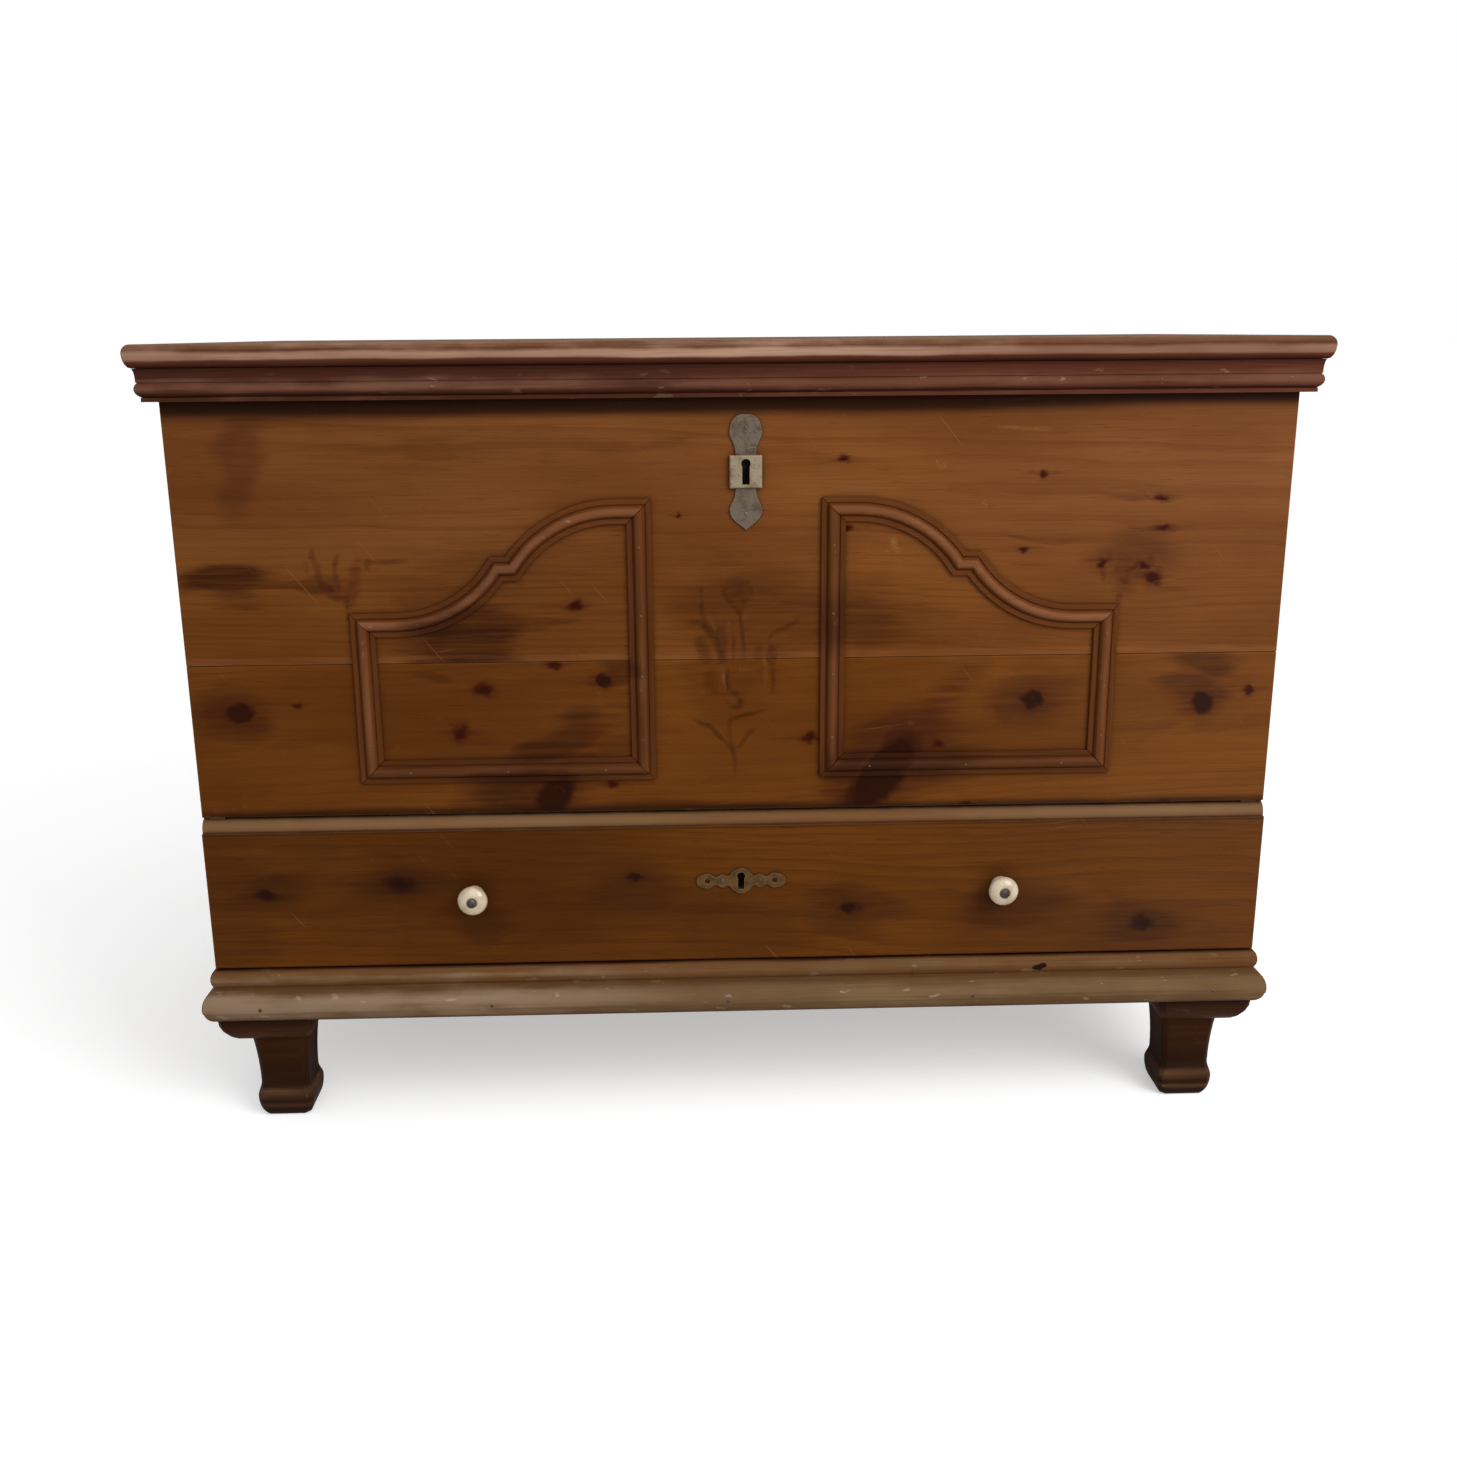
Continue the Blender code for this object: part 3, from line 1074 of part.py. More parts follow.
def make_drawer():
    """Lipped front, dovetailed sides and back, and a bottom that slides in grooves under the back."""
    span = (-HALF_WIDTH, HALF_WIDTH)
    front_shape = extruded([drawer_front_outline()], "X", span)
    front = add_part("drawer_front", *front_shape, "drawer_pine", "drawer")
    back_spans = ((-DRAWER_OUTER_HALF, DRAWER_OUTER_HALF),
                  (DRAWER_END - DRAWER_BACK_THICKNESS, DRAWER_END), (DRAWER_BACK_LOW, DRAWER_BACK_HIGH))
    back = add_part("drawer_back", *box(*back_spans), "raw_pine", "drawer")
    half = DRAWER_INNER_HALF + DRAWER_GROOVE
    near = DRAWER_FRONT_BACK - DRAWER_GROOVE
    heights = (DRAWER_PANEL_BOTTOM, DRAWER_PANEL_TOP)
    add_part("drawer_bottom", *box((-half, half), (near, DRAWER_END), heights), "raw_pine", "drawer")
    groove_spans = ((-half - GAP, half + GAP), (near - GAP, DRAWER_END + OVERSHOOT),
                    (heights[0] - GAP, heights[1] + GAP))
    groove = add_cutter("drawer_bottom_groove", *box(*groove_spans))
    cut(front, groove)
    for name, side in SIDES.items():
        side_span = sorted((side * DRAWER_INNER_HALF, side * DRAWER_OUTER_HALF))
        side_shape = extruded([drawer_side_outline()], "X", side_span)
        board = add_part("drawer_side_" + name, *side_shape, "raw_pine", "drawer")
        cut(board, groove)
        rebate_span = sorted((side * (DRAWER_OUTER_HALF + GAP), side * (HALF_WIDTH + OVERSHOOT)))
        rebate_height = (DRAWER_BOTTOM_EDGE - OVERSHOOT, DRAWER_TOP_EDGE + OVERSHOOT)
        rebate = box(rebate_span, (DRAWER_LIP_BACK, DRAWER_FRONT_BACK + OVERSHOOT), rebate_height)
        sockets = through_span(DRAWER_INNER_HALF, DRAWER_OUTER_HALF, side)
        front_sockets = tail_cutter("drawer_front_sockets_" + name, DRAWER_FRONT_TAILS, DRAWER_TAIL_WIDTH,
                                    DRAWER_LIP_BACK + GAP, DRAWER_FRONT_BACK + GAP, GAP, sockets)
        back_sockets = tail_cutter("drawer_back_sockets_" + name, DRAWER_BACK_TAILS, DRAWER_TAIL_WIDTH,
                                   DRAWER_END, DRAWER_END - DRAWER_BACK_THICKNESS - GAP, OVERSHOOT, sockets)
        cut(front, add_cutter("drawer_rebate_" + name, *rebate), front_sockets)
        cut(back, back_sockets)
    return front


def make_knobs(front):
    """Turned porcelain knobs, each held by a bolt through the drawer front and a square nut inside it."""
    bore = KNOB_BOLT_RADIUS + GAP
    head_shape = [(KNOB_RADIUS * out, KNOB_LENGTH * along) for out, along in KNOB_DOME + KNOB_UNDERSIDE]
    neck = [(KNOB_NECK_RADIUS, KNOB_LENGTH * along) for along in KNOB_NECK]
    base = [(KNOB_BASE_RADIUS, KNOB_LENGTH * KNOB_BASE), (KNOB_BASE_RADIUS, 0), (bore, 0)]
    knob_profile = [(bore, KNOB_LENGTH * KNOB_DISH)] + head_shape + neck + base
    head = KNOB_LENGTH + GAP
    tail_end = -(GAP + DRAWER_FRONT_THICKNESS + GAP + NUT_HEIGHT + KNOB_BOLT_TAIL)
    crown = [(KNOB_BOLT_HEAD_RADIUS * out, head + KNOB_BOLT_HEAD_HEIGHT * up) for out, up in KNOB_BOLT_CROWN]
    shank = [(KNOB_BOLT_HEAD_RADIUS, head), (KNOB_BOLT_RADIUS, head), (KNOB_BOLT_RADIUS, tail_end)]
    bolt_profile = [(0, head + KNOB_BOLT_HEAD_HEIGHT)] + crown + shank + [(0, tail_end)]
    nut_back = DRAWER_FRONT_BACK + GAP + NUT_HEIGHT
    for name, side in SIDES.items():
        x = side * KNOB_X
        outward = Matrix.Rotation(pi / 2, 4, "X")
        place = Matrix.Translation((x, FACE_Y + DRAWER_FACE - GAP, KNOB_HEIGHT)) @ outward
        turned("knob_" + name, knob_profile, place, "porcelain", "drawer")
        turned("knob_bolt_" + name, bolt_profile, place, "iron", "drawer", SMALL_ROUND_STEPS)
        half = NUT_WIDTH / 2
        square = [(x - half, KNOB_HEIGHT - half), (x + half, KNOB_HEIGHT - half),
                  (x + half, KNOB_HEIGHT + half), (x - half, KNOB_HEIGHT + half)]
        hole = circle((x, KNOB_HEIGHT), bore, SMALL_ROUND_STEPS)
        nut = extruded([square, hole], "Y", (DRAWER_FRONT_BACK + GAP, nut_back))
        add_part("knob_nut_" + name, *nut, "iron", "drawer")
        way_span = (DRAWER_FACE - OVERSHOOT, DRAWER_FRONT_BACK + OVERSHOOT)
        way = cylinder(bore, "Y", (x, KNOB_HEIGHT), way_span)
        cut(front, add_cutter("knob_hole_" + name, *way))


def drawer_plate_outline():
    """Fretted keyhole plate: an oval middle, then a small and a large lobe each side, as (x, z) points."""
    wing = [(DRAWER_PLATE_SHOULDER_X, DRAWER_PLATE_SHOULDER_HALF),
            (DRAWER_PLATE_WAIST_X, DRAWER_PLATE_WAIST_HALF),
            (DRAWER_PLATE_SMALL_LOBE_X, DRAWER_PLATE_SMALL_LOBE_HALF),
            (DRAWER_PLATE_NECK_X, DRAWER_PLATE_NECK_HALF), (DRAWER_PLATE_LOBE_X, DRAWER_PLATE_LOBE_HALF)]
    right = wing + [(DRAWER_PLATE_HALF_LENGTH, 0)] + [(x, -z) for x, z in reversed(wing)]
    left = [(-x, z) for x, z in reversed(right)]
    outline = [(0, DRAWER_PLATE_HALF_HEIGHT)] + right + [(0, -DRAWER_PLATE_HALF_HEIGHT)] + left
    return [(DRAWER_LOCK_X + x, DRAWER_KEYHOLE_HEIGHT + z) for x, z in outline]


def drawer_plate_holes():
    """The keyhole and a round piercing in each lobe."""
    holes = [drawer_keyhole()]
    for side in SIDES.values():
        small = (DRAWER_LOCK_X + side * DRAWER_PLATE_SMALL_LOBE_X, DRAWER_KEYHOLE_HEIGHT)
        large = (DRAWER_LOCK_X + side * DRAWER_PLATE_LOBE_X, DRAWER_KEYHOLE_HEIGHT)
        holes.append(circle(small, DRAWER_PLATE_SMALL_HOLE, SMALL_ROUND_STEPS))
        holes.append(circle(large, DRAWER_PLATE_HOLE, SMALL_ROUND_STEPS))
    return holes


def make_drawer_lock(front):
    plate_back = DRAWER_FACE - GAP
    plate_span = (plate_back - DRAWER_PLATE_THICKNESS, plate_back)
    plate_shape = extruded([drawer_plate_outline()], "Y", plate_span, smooth=True)
    plate = add_part("drawer_lock_plate", *plate_shape, "old_brass", "drawer")
    pierced = (plate_span[0] - OVERSHOOT, plate_span[1] + OVERSHOOT)
    cut(plate, add_cutter("drawer_plate_holes", *extruded(drawer_plate_holes(), "Y", pierced)))
    key_span = (DRAWER_FACE - OVERSHOOT, DRAWER_FRONT_BACK + DRAWER_KEYHOLE_DEPTH_IN_LOCK)
    key_way = add_cutter("drawer_key_way", *extruded([drawer_keyhole(GAP)], "Y", key_span))
    cut(front, key_way)
    half = DRAWER_LOCK_WIDTH / 2
    depth = (DRAWER_FRONT_BACK + GAP, DRAWER_FRONT_BACK + GAP + DRAWER_LOCK_DEPTH)
    bottom = DRAWER_KEYHOLE_HEIGHT - DRAWER_LOCK_BELOW_KEYHOLE
    case_spans = ((DRAWER_LOCK_X - half, DRAWER_LOCK_X + half), depth, (bottom, DRAWER_LOCK_TOP))
    case = add_part("drawer_lock_case", *box(*case_spans), "iron", "drawer")
    bolt_half = DRAWER_BOLT_WIDTH / 2
    bolt_spans = ((DRAWER_LOCK_X - bolt_half, DRAWER_LOCK_X + bolt_half),
                  (DRAWER_BOLT_FRONT, DRAWER_BOLT_FRONT + DRAWER_BOLT_THICKNESS),
                  (DRAWER_LOCK_TOP - DRAWER_BOLT_LENGTH, DRAWER_LOCK_TOP))
    add_part("drawer_lock_bolt", *box(*bolt_spans), "iron", "drawer_bolt")
    channel = [(low - GAP, high + GAP) for low, high in bolt_spans[:2]]
    channel.append((bolt_spans[2][0] - GAP, DRAWER_LOCK_TOP + OVERSHOOT))
    cut(case, key_way, add_cutter("drawer_bolt_channel", *box(*channel)))


def main():
    boards = make_case_boards()
    make_floor(boards)
    make_feet(make_plinth())
    make_runners()
    make_frames()
    make_lid()
    make_hinges(boards)
    make_lid_lock(boards)
    drawer_front = make_drawer()
    make_knobs(drawer_front)
    make_drawer_lock(drawer_front)
    for part in PARTS.objects:
        if part.type == "MESH" and len(part.data.polygons) > 0:
            shade_round(part.data)


main()
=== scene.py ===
# %% [markdown]
# # A pine coffer with one drawer
# The chest stands on four shaped feet. Its lid lifts on two strap hinges, one long drawer runs under the
# well, and two arched frames are planted on the front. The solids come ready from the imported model, so
# this lesson dresses them: aged pine, worn stain, iron, brass and porcelain, and small things such as
# nails.

import json
import random
from math import cos, pi, radians, sin

import bmesh
import bpy
from mathutils import Matrix, Vector

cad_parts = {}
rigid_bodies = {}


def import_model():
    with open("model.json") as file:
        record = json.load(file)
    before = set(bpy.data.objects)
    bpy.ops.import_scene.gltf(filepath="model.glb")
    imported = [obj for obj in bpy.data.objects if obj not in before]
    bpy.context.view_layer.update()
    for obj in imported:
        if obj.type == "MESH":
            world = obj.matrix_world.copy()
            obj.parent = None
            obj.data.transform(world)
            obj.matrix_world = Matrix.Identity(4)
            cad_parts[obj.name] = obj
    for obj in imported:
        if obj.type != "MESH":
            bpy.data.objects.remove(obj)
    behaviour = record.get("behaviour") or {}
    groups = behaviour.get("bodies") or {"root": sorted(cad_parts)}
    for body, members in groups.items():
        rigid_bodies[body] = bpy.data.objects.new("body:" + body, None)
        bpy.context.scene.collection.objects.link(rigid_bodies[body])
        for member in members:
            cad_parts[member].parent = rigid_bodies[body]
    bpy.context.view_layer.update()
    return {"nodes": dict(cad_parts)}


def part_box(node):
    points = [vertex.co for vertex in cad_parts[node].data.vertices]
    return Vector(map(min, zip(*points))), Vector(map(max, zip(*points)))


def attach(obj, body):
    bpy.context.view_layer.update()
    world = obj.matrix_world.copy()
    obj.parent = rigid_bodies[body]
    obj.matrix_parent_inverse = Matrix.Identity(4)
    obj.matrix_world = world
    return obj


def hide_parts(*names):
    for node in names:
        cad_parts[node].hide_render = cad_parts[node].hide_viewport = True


for leftover in list(bpy.data.objects):
    bpy.data.objects.remove(leftover)
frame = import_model()
NODES = frame["nodes"]

# %% [markdown]
# ## The camera
# The photo was taken from chest height, a little left of the middle, looking down by 15 degrees. A camera
# could be placed by eye. Here its place and turn were fitted to the edges of the lid, the case and the
# plinth, so that the render lies over the photo.

# %% Place the camera
CAMERA_PLACE = Vector((-0.0522, -1.71865, 0.833))
CAMERA_YAW = radians(-1.6867)
CAMERA_PITCH = radians(15.0205)
CAMERA_ROLL = radians(-0.4391)
CAMERA_LENS = 36.61
CAMERA_SENSOR = 36.0


def camera_turn():
    flat = cos(CAMERA_PITCH)
    forward = Vector((-sin(CAMERA_YAW) * flat, cos(CAMERA_YAW) * flat, -sin(CAMERA_PITCH)))
    level = Vector((cos(CAMERA_YAW), sin(CAMERA_YAW), 0.0))
    upright = level.cross(forward)
    across = level * cos(CAMERA_ROLL) + upright * sin(CAMERA_ROLL)
    above = upright * cos(CAMERA_ROLL) - level * sin(CAMERA_ROLL)
    return Matrix((across, above, -forward)).transposed().to_4x4()


camera_data = bpy.data.cameras.new("camera")
camera_data.lens = CAMERA_LENS
camera_data.sensor_width = CAMERA_SENSOR
camera = bpy.data.objects.new("camera", camera_data)
camera.matrix_world = Matrix.Translation(CAMERA_PLACE) @ camera_turn()
bpy.context.scene.collection.objects.link(camera)
bpy.context.scene.camera = camera
bpy.context.scene.view_settings.view_transform = "Standard"
print("camera at", tuple(round(value, 3) for value in CAMERA_PLACE))

# %% [markdown]
# ## A bench for nodes
# Every finish below is built from shader nodes. Placing them by hand takes many lines, so this small
# bench keeps the words short: `put` places a node, `math` and `vector` do sums, and `times`, `plus`,
# `scaled` and `most` are the sums that come up again and again. `cloud` is noise, `span` maps one range
# to another, and `tint` lays one colour over another.

# %% Make the bench
class Bench:
    """Places nodes in one tree. A fed value is a number, a colour, a vector or another node's output."""

    def __init__(self, tree):
        self.tree = tree

    def put(self, kind, feeds=(), **settings):
        node = self.tree.nodes.new("ShaderNode" + kind)
        for key, value in settings.items():
            setattr(node, key, value)
        for socket, value in dict(feeds).items():
            self.feed(node.inputs[socket], value)
        return node

    def feed(self, socket, value):
        if isinstance(value, bpy.types.NodeSocket):
            self.tree.links.new(value, socket)
        else:
            socket.default_value = value

    def math(self, operation, *values, clamp=False):
        return self.put("Math", enumerate(values), operation=operation, use_clamp=clamp).outputs[0]

    def times(self, one, other, clamp=False):
        return self.math("MULTIPLY", one, other, clamp=clamp)

    def plus(self, one, other):
        return self.math("ADD", one, other)

    def scaled(self, value, by, start):
        """The value times a number, counted from a start."""
        return self.math("MULTIPLY_ADD", value, by, start)

    def most(self, one, other):
        return self.math("MAXIMUM", one, other)

    def vector(self, operation, *values):
        node = self.put("VectorMath", enumerate(values), operation=operation)
        return node.outputs["Value" if operation in ("LENGTH", "DOT_PRODUCT") else "Vector"]

    def apart(self, value):
        return self.put("SeparateXYZ", {"Vector": value}).outputs

    def together(self, x=0.0, y=0.0, z=0.0):
        return self.put("CombineXYZ", {"X": x, "Y": y, "Z": z}).outputs[0]

    def cloud(self, place, stretch, detail=2.0, rough=0.5):
        """Noise between 0 and 1; stretch is its scale along each axis."""
        pulled = self.vector("MULTIPLY", place, stretch)
        feeds = {"Vector": pulled, "Scale": 1.0, "Detail": detail, "Roughness": rough}
        return self.put("TexNoise", feeds).outputs[0]

    def drift(self, place, stretch, reach):
        """A noise vector of about the given reach, for pushing places about."""
        pulled = self.vector("MULTIPLY", place, stretch)
        cloud = self.put("TexNoise", {"Vector": pulled, "Scale": 1.0, "Detail": 2.0}).outputs[1]
        centred = self.vector("SUBTRACT", cloud, (0.5, 0.5, 0.5))
        return self.vector("MULTIPLY", centred, (reach, reach, reach))

    def span(self, value, low, high, out_low=0.0, out_high=1.0):
        feeds = {"Value": value, "From Min": low, "From Max": high, "To Min": out_low, "To Max": out_high}
        return self.put("MapRange", feeds, interpolation_type="SMOOTHSTEP").outputs[0]

    def tint(self, share, under, over):
        return self.put("Mix", {0: share, 6: under, 7: over}, data_type="RGBA").outputs[2]

    def bands(self, value, stops):
        """A colour for each place along a value from 0 to 1."""
        node = self.put("ValToRGB", {"Fac": value})
        ramp = node.color_ramp
        while len(ramp.elements) < len(stops):
            ramp.elements.new(0.5)
        for element, (place, shade) in zip(ramp.elements, stops):
            element.position = place
            element.color = shade
        return node.outputs[0]


print("bench ready")

# %% [markdown]
# Six more helpers go with the bench. Colours are written as on a screen, because that is how they are
# read off a picture. A node group is opened with its named sockets, a finish with its shader, and `coat`
# feeds a finish at its end. Places are taken where a piece rests, so that the grain stays with a lid or a
# drawer that moves.

# %% Colours, groups and finishes
def colour(red, green, blue):
    """A colour written as on a screen, 0 to 255, turned into the linear values that nodes use."""
    linear = []
    for value in (red, green, blue):
        share = value / 255
        linear.append(share / 12.92 if share <= 0.04045 else ((share + 0.055) / 1.055) ** 2.4)
    return (*linear, 1.0)


def new_group(name, inputs, outputs):
    """An empty node group: its bench, what it is given and what it is wanted to put out."""
    group = bpy.data.node_groups.new(name, "ShaderNodeTree")
    for label, kind, value in inputs:
        socket = group.interface.new_socket(label, in_out="INPUT", socket_type="NodeSocket" + kind)
        socket.default_value = value
    for label, kind in outputs:
        group.interface.new_socket(label, in_out="OUTPUT", socket_type="NodeSocket" + kind)
    given = group.nodes.new("NodeGroupInput").outputs
    wanted = group.nodes.new("NodeGroupOutput").inputs
    return Bench(group), given, wanted


def use_group(bench, name, feeds):
    node = bench.put("Group", node_tree=bpy.data.node_groups[name])
    for socket, value in feeds.items():
        bench.feed(node.inputs[socket], value)
    return node.outputs


def new_finish(name, roughness=0.5, metallic=0.0, specular=0.5):
    """A material with its bench and its Principled shader."""
    finish = bpy.data.materials.new(name)
    finish.use_nodes = True
    shader = finish.node_tree.nodes["Principled BSDF"]
    shader.inputs["Roughness"].default_value = roughness
    shader.inputs["Metallic"].default_value = metallic
    shader.inputs["Specular IOR Level"].default_value = specular
    return finish, Bench(finish.node_tree), shader


def coat(bench, shader, look, rough, raised, strength, depth):
    """Feeds a finish: its colour, its roughness and a bump with the given depth in metres."""
    bench.feed(shader.inputs["Base Color"], look)
    bench.feed(shader.inputs["Roughness"], rough)
    bump = bench.put("Bump", {"Height": raised, "Strength": strength, "Distance": depth})
    bench.feed(shader.inputs["Normal"], bump.outputs[0])


def rest_place(bench):
    """Where a point is on the closed chest, in metres. It rides along when the lid or the drawer moves."""
    return bench.put("TexCoord").outputs["Object"]


print("helpers for colours, groups and finishes ready")

# %% [markdown]
# ## Floor and light
# The chest stands on white. A soft sun lights the floor evenly as far as the eye can see, a broad lamp at
# the upper right gives the front its slow change from left to right, and the world fills the shadows.
# Stronger lamps would whiten the floor too, but they would bleach the wood. So camera rays see a little
# extra glow on the floor, which reaches white and still keeps the shadow round the feet.

# %% Floor
FLOOR_HALF = 60.0
FLOOR_GREY = (0.80, 0.80, 0.80, 1)
FLOOR_PALE = (0.84, 0.84, 0.84, 1)
FLOOR_GLOW = 0.42


def make_floor():
    mesh = bpy.data.meshes.new("floor")
    corners = [(-1, -1), (1, -1), (1, 1), (-1, 1)]
    mesh.from_pydata([(x * FLOOR_HALF, y * FLOOR_HALF, 0.0) for x, y in corners], [], [(0, 1, 2, 3)])
    floor = bpy.data.objects.new("floor", mesh)
    bpy.context.scene.collection.objects.link(floor)
    finish, bench, shader = new_finish("floor_white", roughness=0.9, specular=0.1)
    speck = bench.cloud(rest_place(bench), (40, 40, 40), detail=3)
    bench.feed(shader.inputs["Base Color"], bench.tint(speck, FLOOR_GREY, FLOOR_PALE))
    seen = bench.put("LightPath").outputs["Is Camera Ray"]
    shader.inputs["Emission Color"].default_value = (1, 1, 1, 1)
    bench.feed(shader.inputs["Emission Strength"], bench.times(seen, FLOOR_GLOW))
    mesh.materials.append(finish)


make_floor()
print("floor half width:", FLOOR_HALF, "m")

# %% World
FILL_STRENGTH = 0.42


def make_world():
    world = bpy.data.worlds.new("studio")
    world.use_nodes = True
    bench = Bench(world.node_tree)
    rays = bench.put("LightPath").outputs
    shown = bench.most(rays["Is Camera Ray"], rays["Is Glossy Ray"])
    shown = bench.most(shown, rays["Is Transmission Ray"])
    background = world.node_tree.nodes["Background"]
    background.inputs["Color"].default_value = (1, 1, 1, 1)
    strength = bench.scaled(shown, 1.0 - FILL_STRENGTH, FILL_STRENGTH)
    bench.feed(background.inputs["Strength"], strength)
    bpy.context.scene.world = world


make_world()
print("fill light of the world:", FILL_STRENGTH)

# %% Lamps
SUN_STRENGTH = 1.38
SUN_SPREAD = radians(70)
SUN_FROM = Vector((0.45, -1.0, 1.05))
LAMP_PLACE = Vector((1.7, -2.1, 2.0))
LAMP_AIM = Vector((0.2, -0.2, 0.5))
LAMP_SIZE = 1.6
LAMP_POWER = 42.0


def hang_lamp(name, kind, power, towards, place=(0, 0, 0), **settings):
    lamp = bpy.data.lights.new(name, kind)
    lamp.energy = power
    for key, value in settings.items():
        setattr(lamp, key, value)
    hung = bpy.data.objects.new(name, lamp)
    hung.location = place
    hung.rotation_euler = towards.to_track_quat("-Z", "Y").to_euler()
    bpy.context.scene.collection.objects.link(hung)


hang_lamp("soft_sun", "SUN", SUN_STRENGTH, -SUN_FROM, angle=SUN_SPREAD)
hang_lamp("broad_lamp", "AREA", LAMP_POWER, LAMP_AIM - LAMP_PLACE, LAMP_PLACE, size=LAMP_SIZE)

# %% [markdown]
# ## Pine grain
# A pine board is a slice through a trunk, so its lines are cuts through rings round the pith. Drawn lines
# would look right only from the front. This group measures the distance from a leaning pith line behind
# the board instead, so face, edge and end grain all agree. It also gives fine fibre, short resin streaks
# and the broad unevenness of old wax. `Bend` pushes the rings aside where they run round a knot.

# %% Node group: pine grain
RING_SWAY = 0.07
bench, given, wanted = new_group(
    "pine_grain",
    [("Position", "Vector", (0, 0, 0)), ("Pith", "Vector", (0, 0.1, 0)), ("Lean", "Float", 0.03),
     ("Ring Width", "Float", 0.004), ("Bend", "Float", 0.0), ("Shift", "Vector", (0, 0, 0))],
    [("Late Wood", "Float"), ("Fibre", "Float"), ("Pores", "Float"), ("Wax", "Float")])
moved = bench.vector("ADD", given["Position"], given["Shift"])
sway = bench.scaled(bench.cloud(moved, (1.3, 5, 5)), RING_SWAY, -RING_SWAY / 2)
from_pith = bench.apart(bench.vector("SUBTRACT", given["Position"], given["Pith"]))
height = bench.plus(from_pith["Z"], given["Bend"])
height = bench.plus(height, sway)
height = bench.scaled(from_pith["X"], given["Lean"], height)
radius = bench.vector("LENGTH", bench.together(0.0, from_pith["Y"], height))
ripple = bench.times(bench.cloud(moved, (5, 45, 45), detail=3), 1.4)
ring = bench.plus(bench.math("DIVIDE", radius, given["Ring Width"]), ripple)
across_ring = bench.math("FRACT", ring)
late = bench.times(bench.span(across_ring, 0.35, 0.90), bench.span(across_ring, 1.0, 0.92))
whole_ring = bench.math("FLOOR", ring)
uneven = bench.put("TexWhiteNoise", {"W": whole_ring}, noise_dimensions="1D").outputs["Value"]
late = bench.times(late, bench.scaled(uneven, 0.75, 0.25))
bench.feed(wanted["Late Wood"], late)
bench.feed(wanted["Fibre"], bench.cloud(moved, (9, 650, 650), detail=3, rough=0.6))
bench.feed(wanted["Pores"], bench.span(bench.cloud(moved, (30, 800, 800), detail=1), 0.66, 0.74))
bench.feed(wanted["Wax"], bench.cloud(moved, (2.2, 7, 7), detail=4, rough=0.55))
print("group pine_grain")

# %% [markdown]
# ## Knots
# A knot is the foot of a branch, and the rings of the trunk flow round it as water flows round a post. An
# image could hold the knots, but it would blur close by and leave the grain straight. So this group gives
# how far a point lies from the knot, counted in its own half lengths, the same for the dark tail that it
# drags along the grain, and how much the grain is pushed aside there. One group serves every knot.

# %% Node group: knot
SOFT_MIDDLE = 0.4
TAIL_REACH = (0.20, 0.0, 1.15)
bench, given, wanted = new_group(
    "knot",
    [("Position", "Vector", (0, 0, 0)), ("Place", "Vector", (0, 0, 0)),
     ("Reach", "Vector", (0.01, 1, 0.01)), ("Turn", "Float", 0.0)],
    [("Distance", "Float"), ("Tail", "Float"), ("Bend", "Float")])
feeds = {"Vector": given["Position"], "Location": given["Place"], "Scale": given["Reach"],
         "Rotation": bench.together(0.0, given["Turn"], 0.0)}
local = bench.put("Mapping", feeds, vector_type="TEXTURE").outputs[0]
flat = bench.vector("MULTIPLY", local, (1, 0, 1))
away = bench.vector("LENGTH", flat)
bench.feed(wanted["Distance"], away)
bench.feed(wanted["Tail"], bench.vector("LENGTH", bench.vector("MULTIPLY", local, TAIL_REACH)))
push = bench.math("DIVIDE", bench.apart(flat)["Z"], bench.scaled(away, away, SOFT_MIDDLE))
half_height = bench.apart(given["Reach"])["Z"]
bench.feed(wanted["Bend"], bench.times(bench.times(push, half_height), -1.0))
print("group knot")

# %% [markdown]
# ## Wear, grime and painted shade, scratches and dust
# Four more groups are shared by nearly every finish. They could be painted on by hand, but when they are
# worked out from the shape they land on every edge and corner by themselves. Wear finds the outer edges,
# where hands and dusters rub: it compares the true normal with one rounded over the edge. Grime and shade
# finds the inner corners, where wax and dirt collect and where shade falls: it asks how much of the sky a
# point sees close by, and the finishes darken those corners with dirt and painted shade together.
# Scratches are thin stretched noise, and dust lies on what faces up when the chest is shut.

# %% Node groups: edge wear, and grime with painted shade
bench, given, wanted = new_group(
    "edge_wear",
    [("Position", "Vector", (0, 0, 0)), ("Radius", "Float", 0.002), ("Patch Size", "Float", 60.0)],
    [("Wear", "Float")])
rounded = bench.put("Bevel", {"Radius": given["Radius"]}, samples=3).outputs[0]
square_on = bench.put("NewGeometry").outputs["Normal"]
turned_away = bench.math("SUBTRACT", 1.0, bench.vector("DOT_PRODUCT", rounded, square_on))
size = given["Patch Size"]
rub = bench.cloud(given["Position"], bench.together(size, size, size), detail=3, rough=0.65)
bench.feed(wanted["Wear"], bench.span(bench.scaled(rub, 0.5, turned_away), 0.30, 0.62))

bench, given, wanted = new_group(
    "grime", [("Position", "Vector", (0, 0, 0)), ("Reach", "Float", 0.02)], [("Grime And Shade", "Float")])
# Where a point sees little sky close by, the finishes lay grime and painted shade.
sky = bench.put("AmbientOcclusion", {"Distance": given["Reach"]}, samples=3).outputs["AO"]
cake = bench.cloud(given["Position"], (35, 35, 35), detail=3, rough=0.6)
shut_in = bench.math("SUBTRACT", 1.0, sky)
bench.feed(wanted["Grime And Shade"], bench.times(shut_in, bench.plus(cake, 0.45), clamp=True))
print("groups edge_wear and grime")

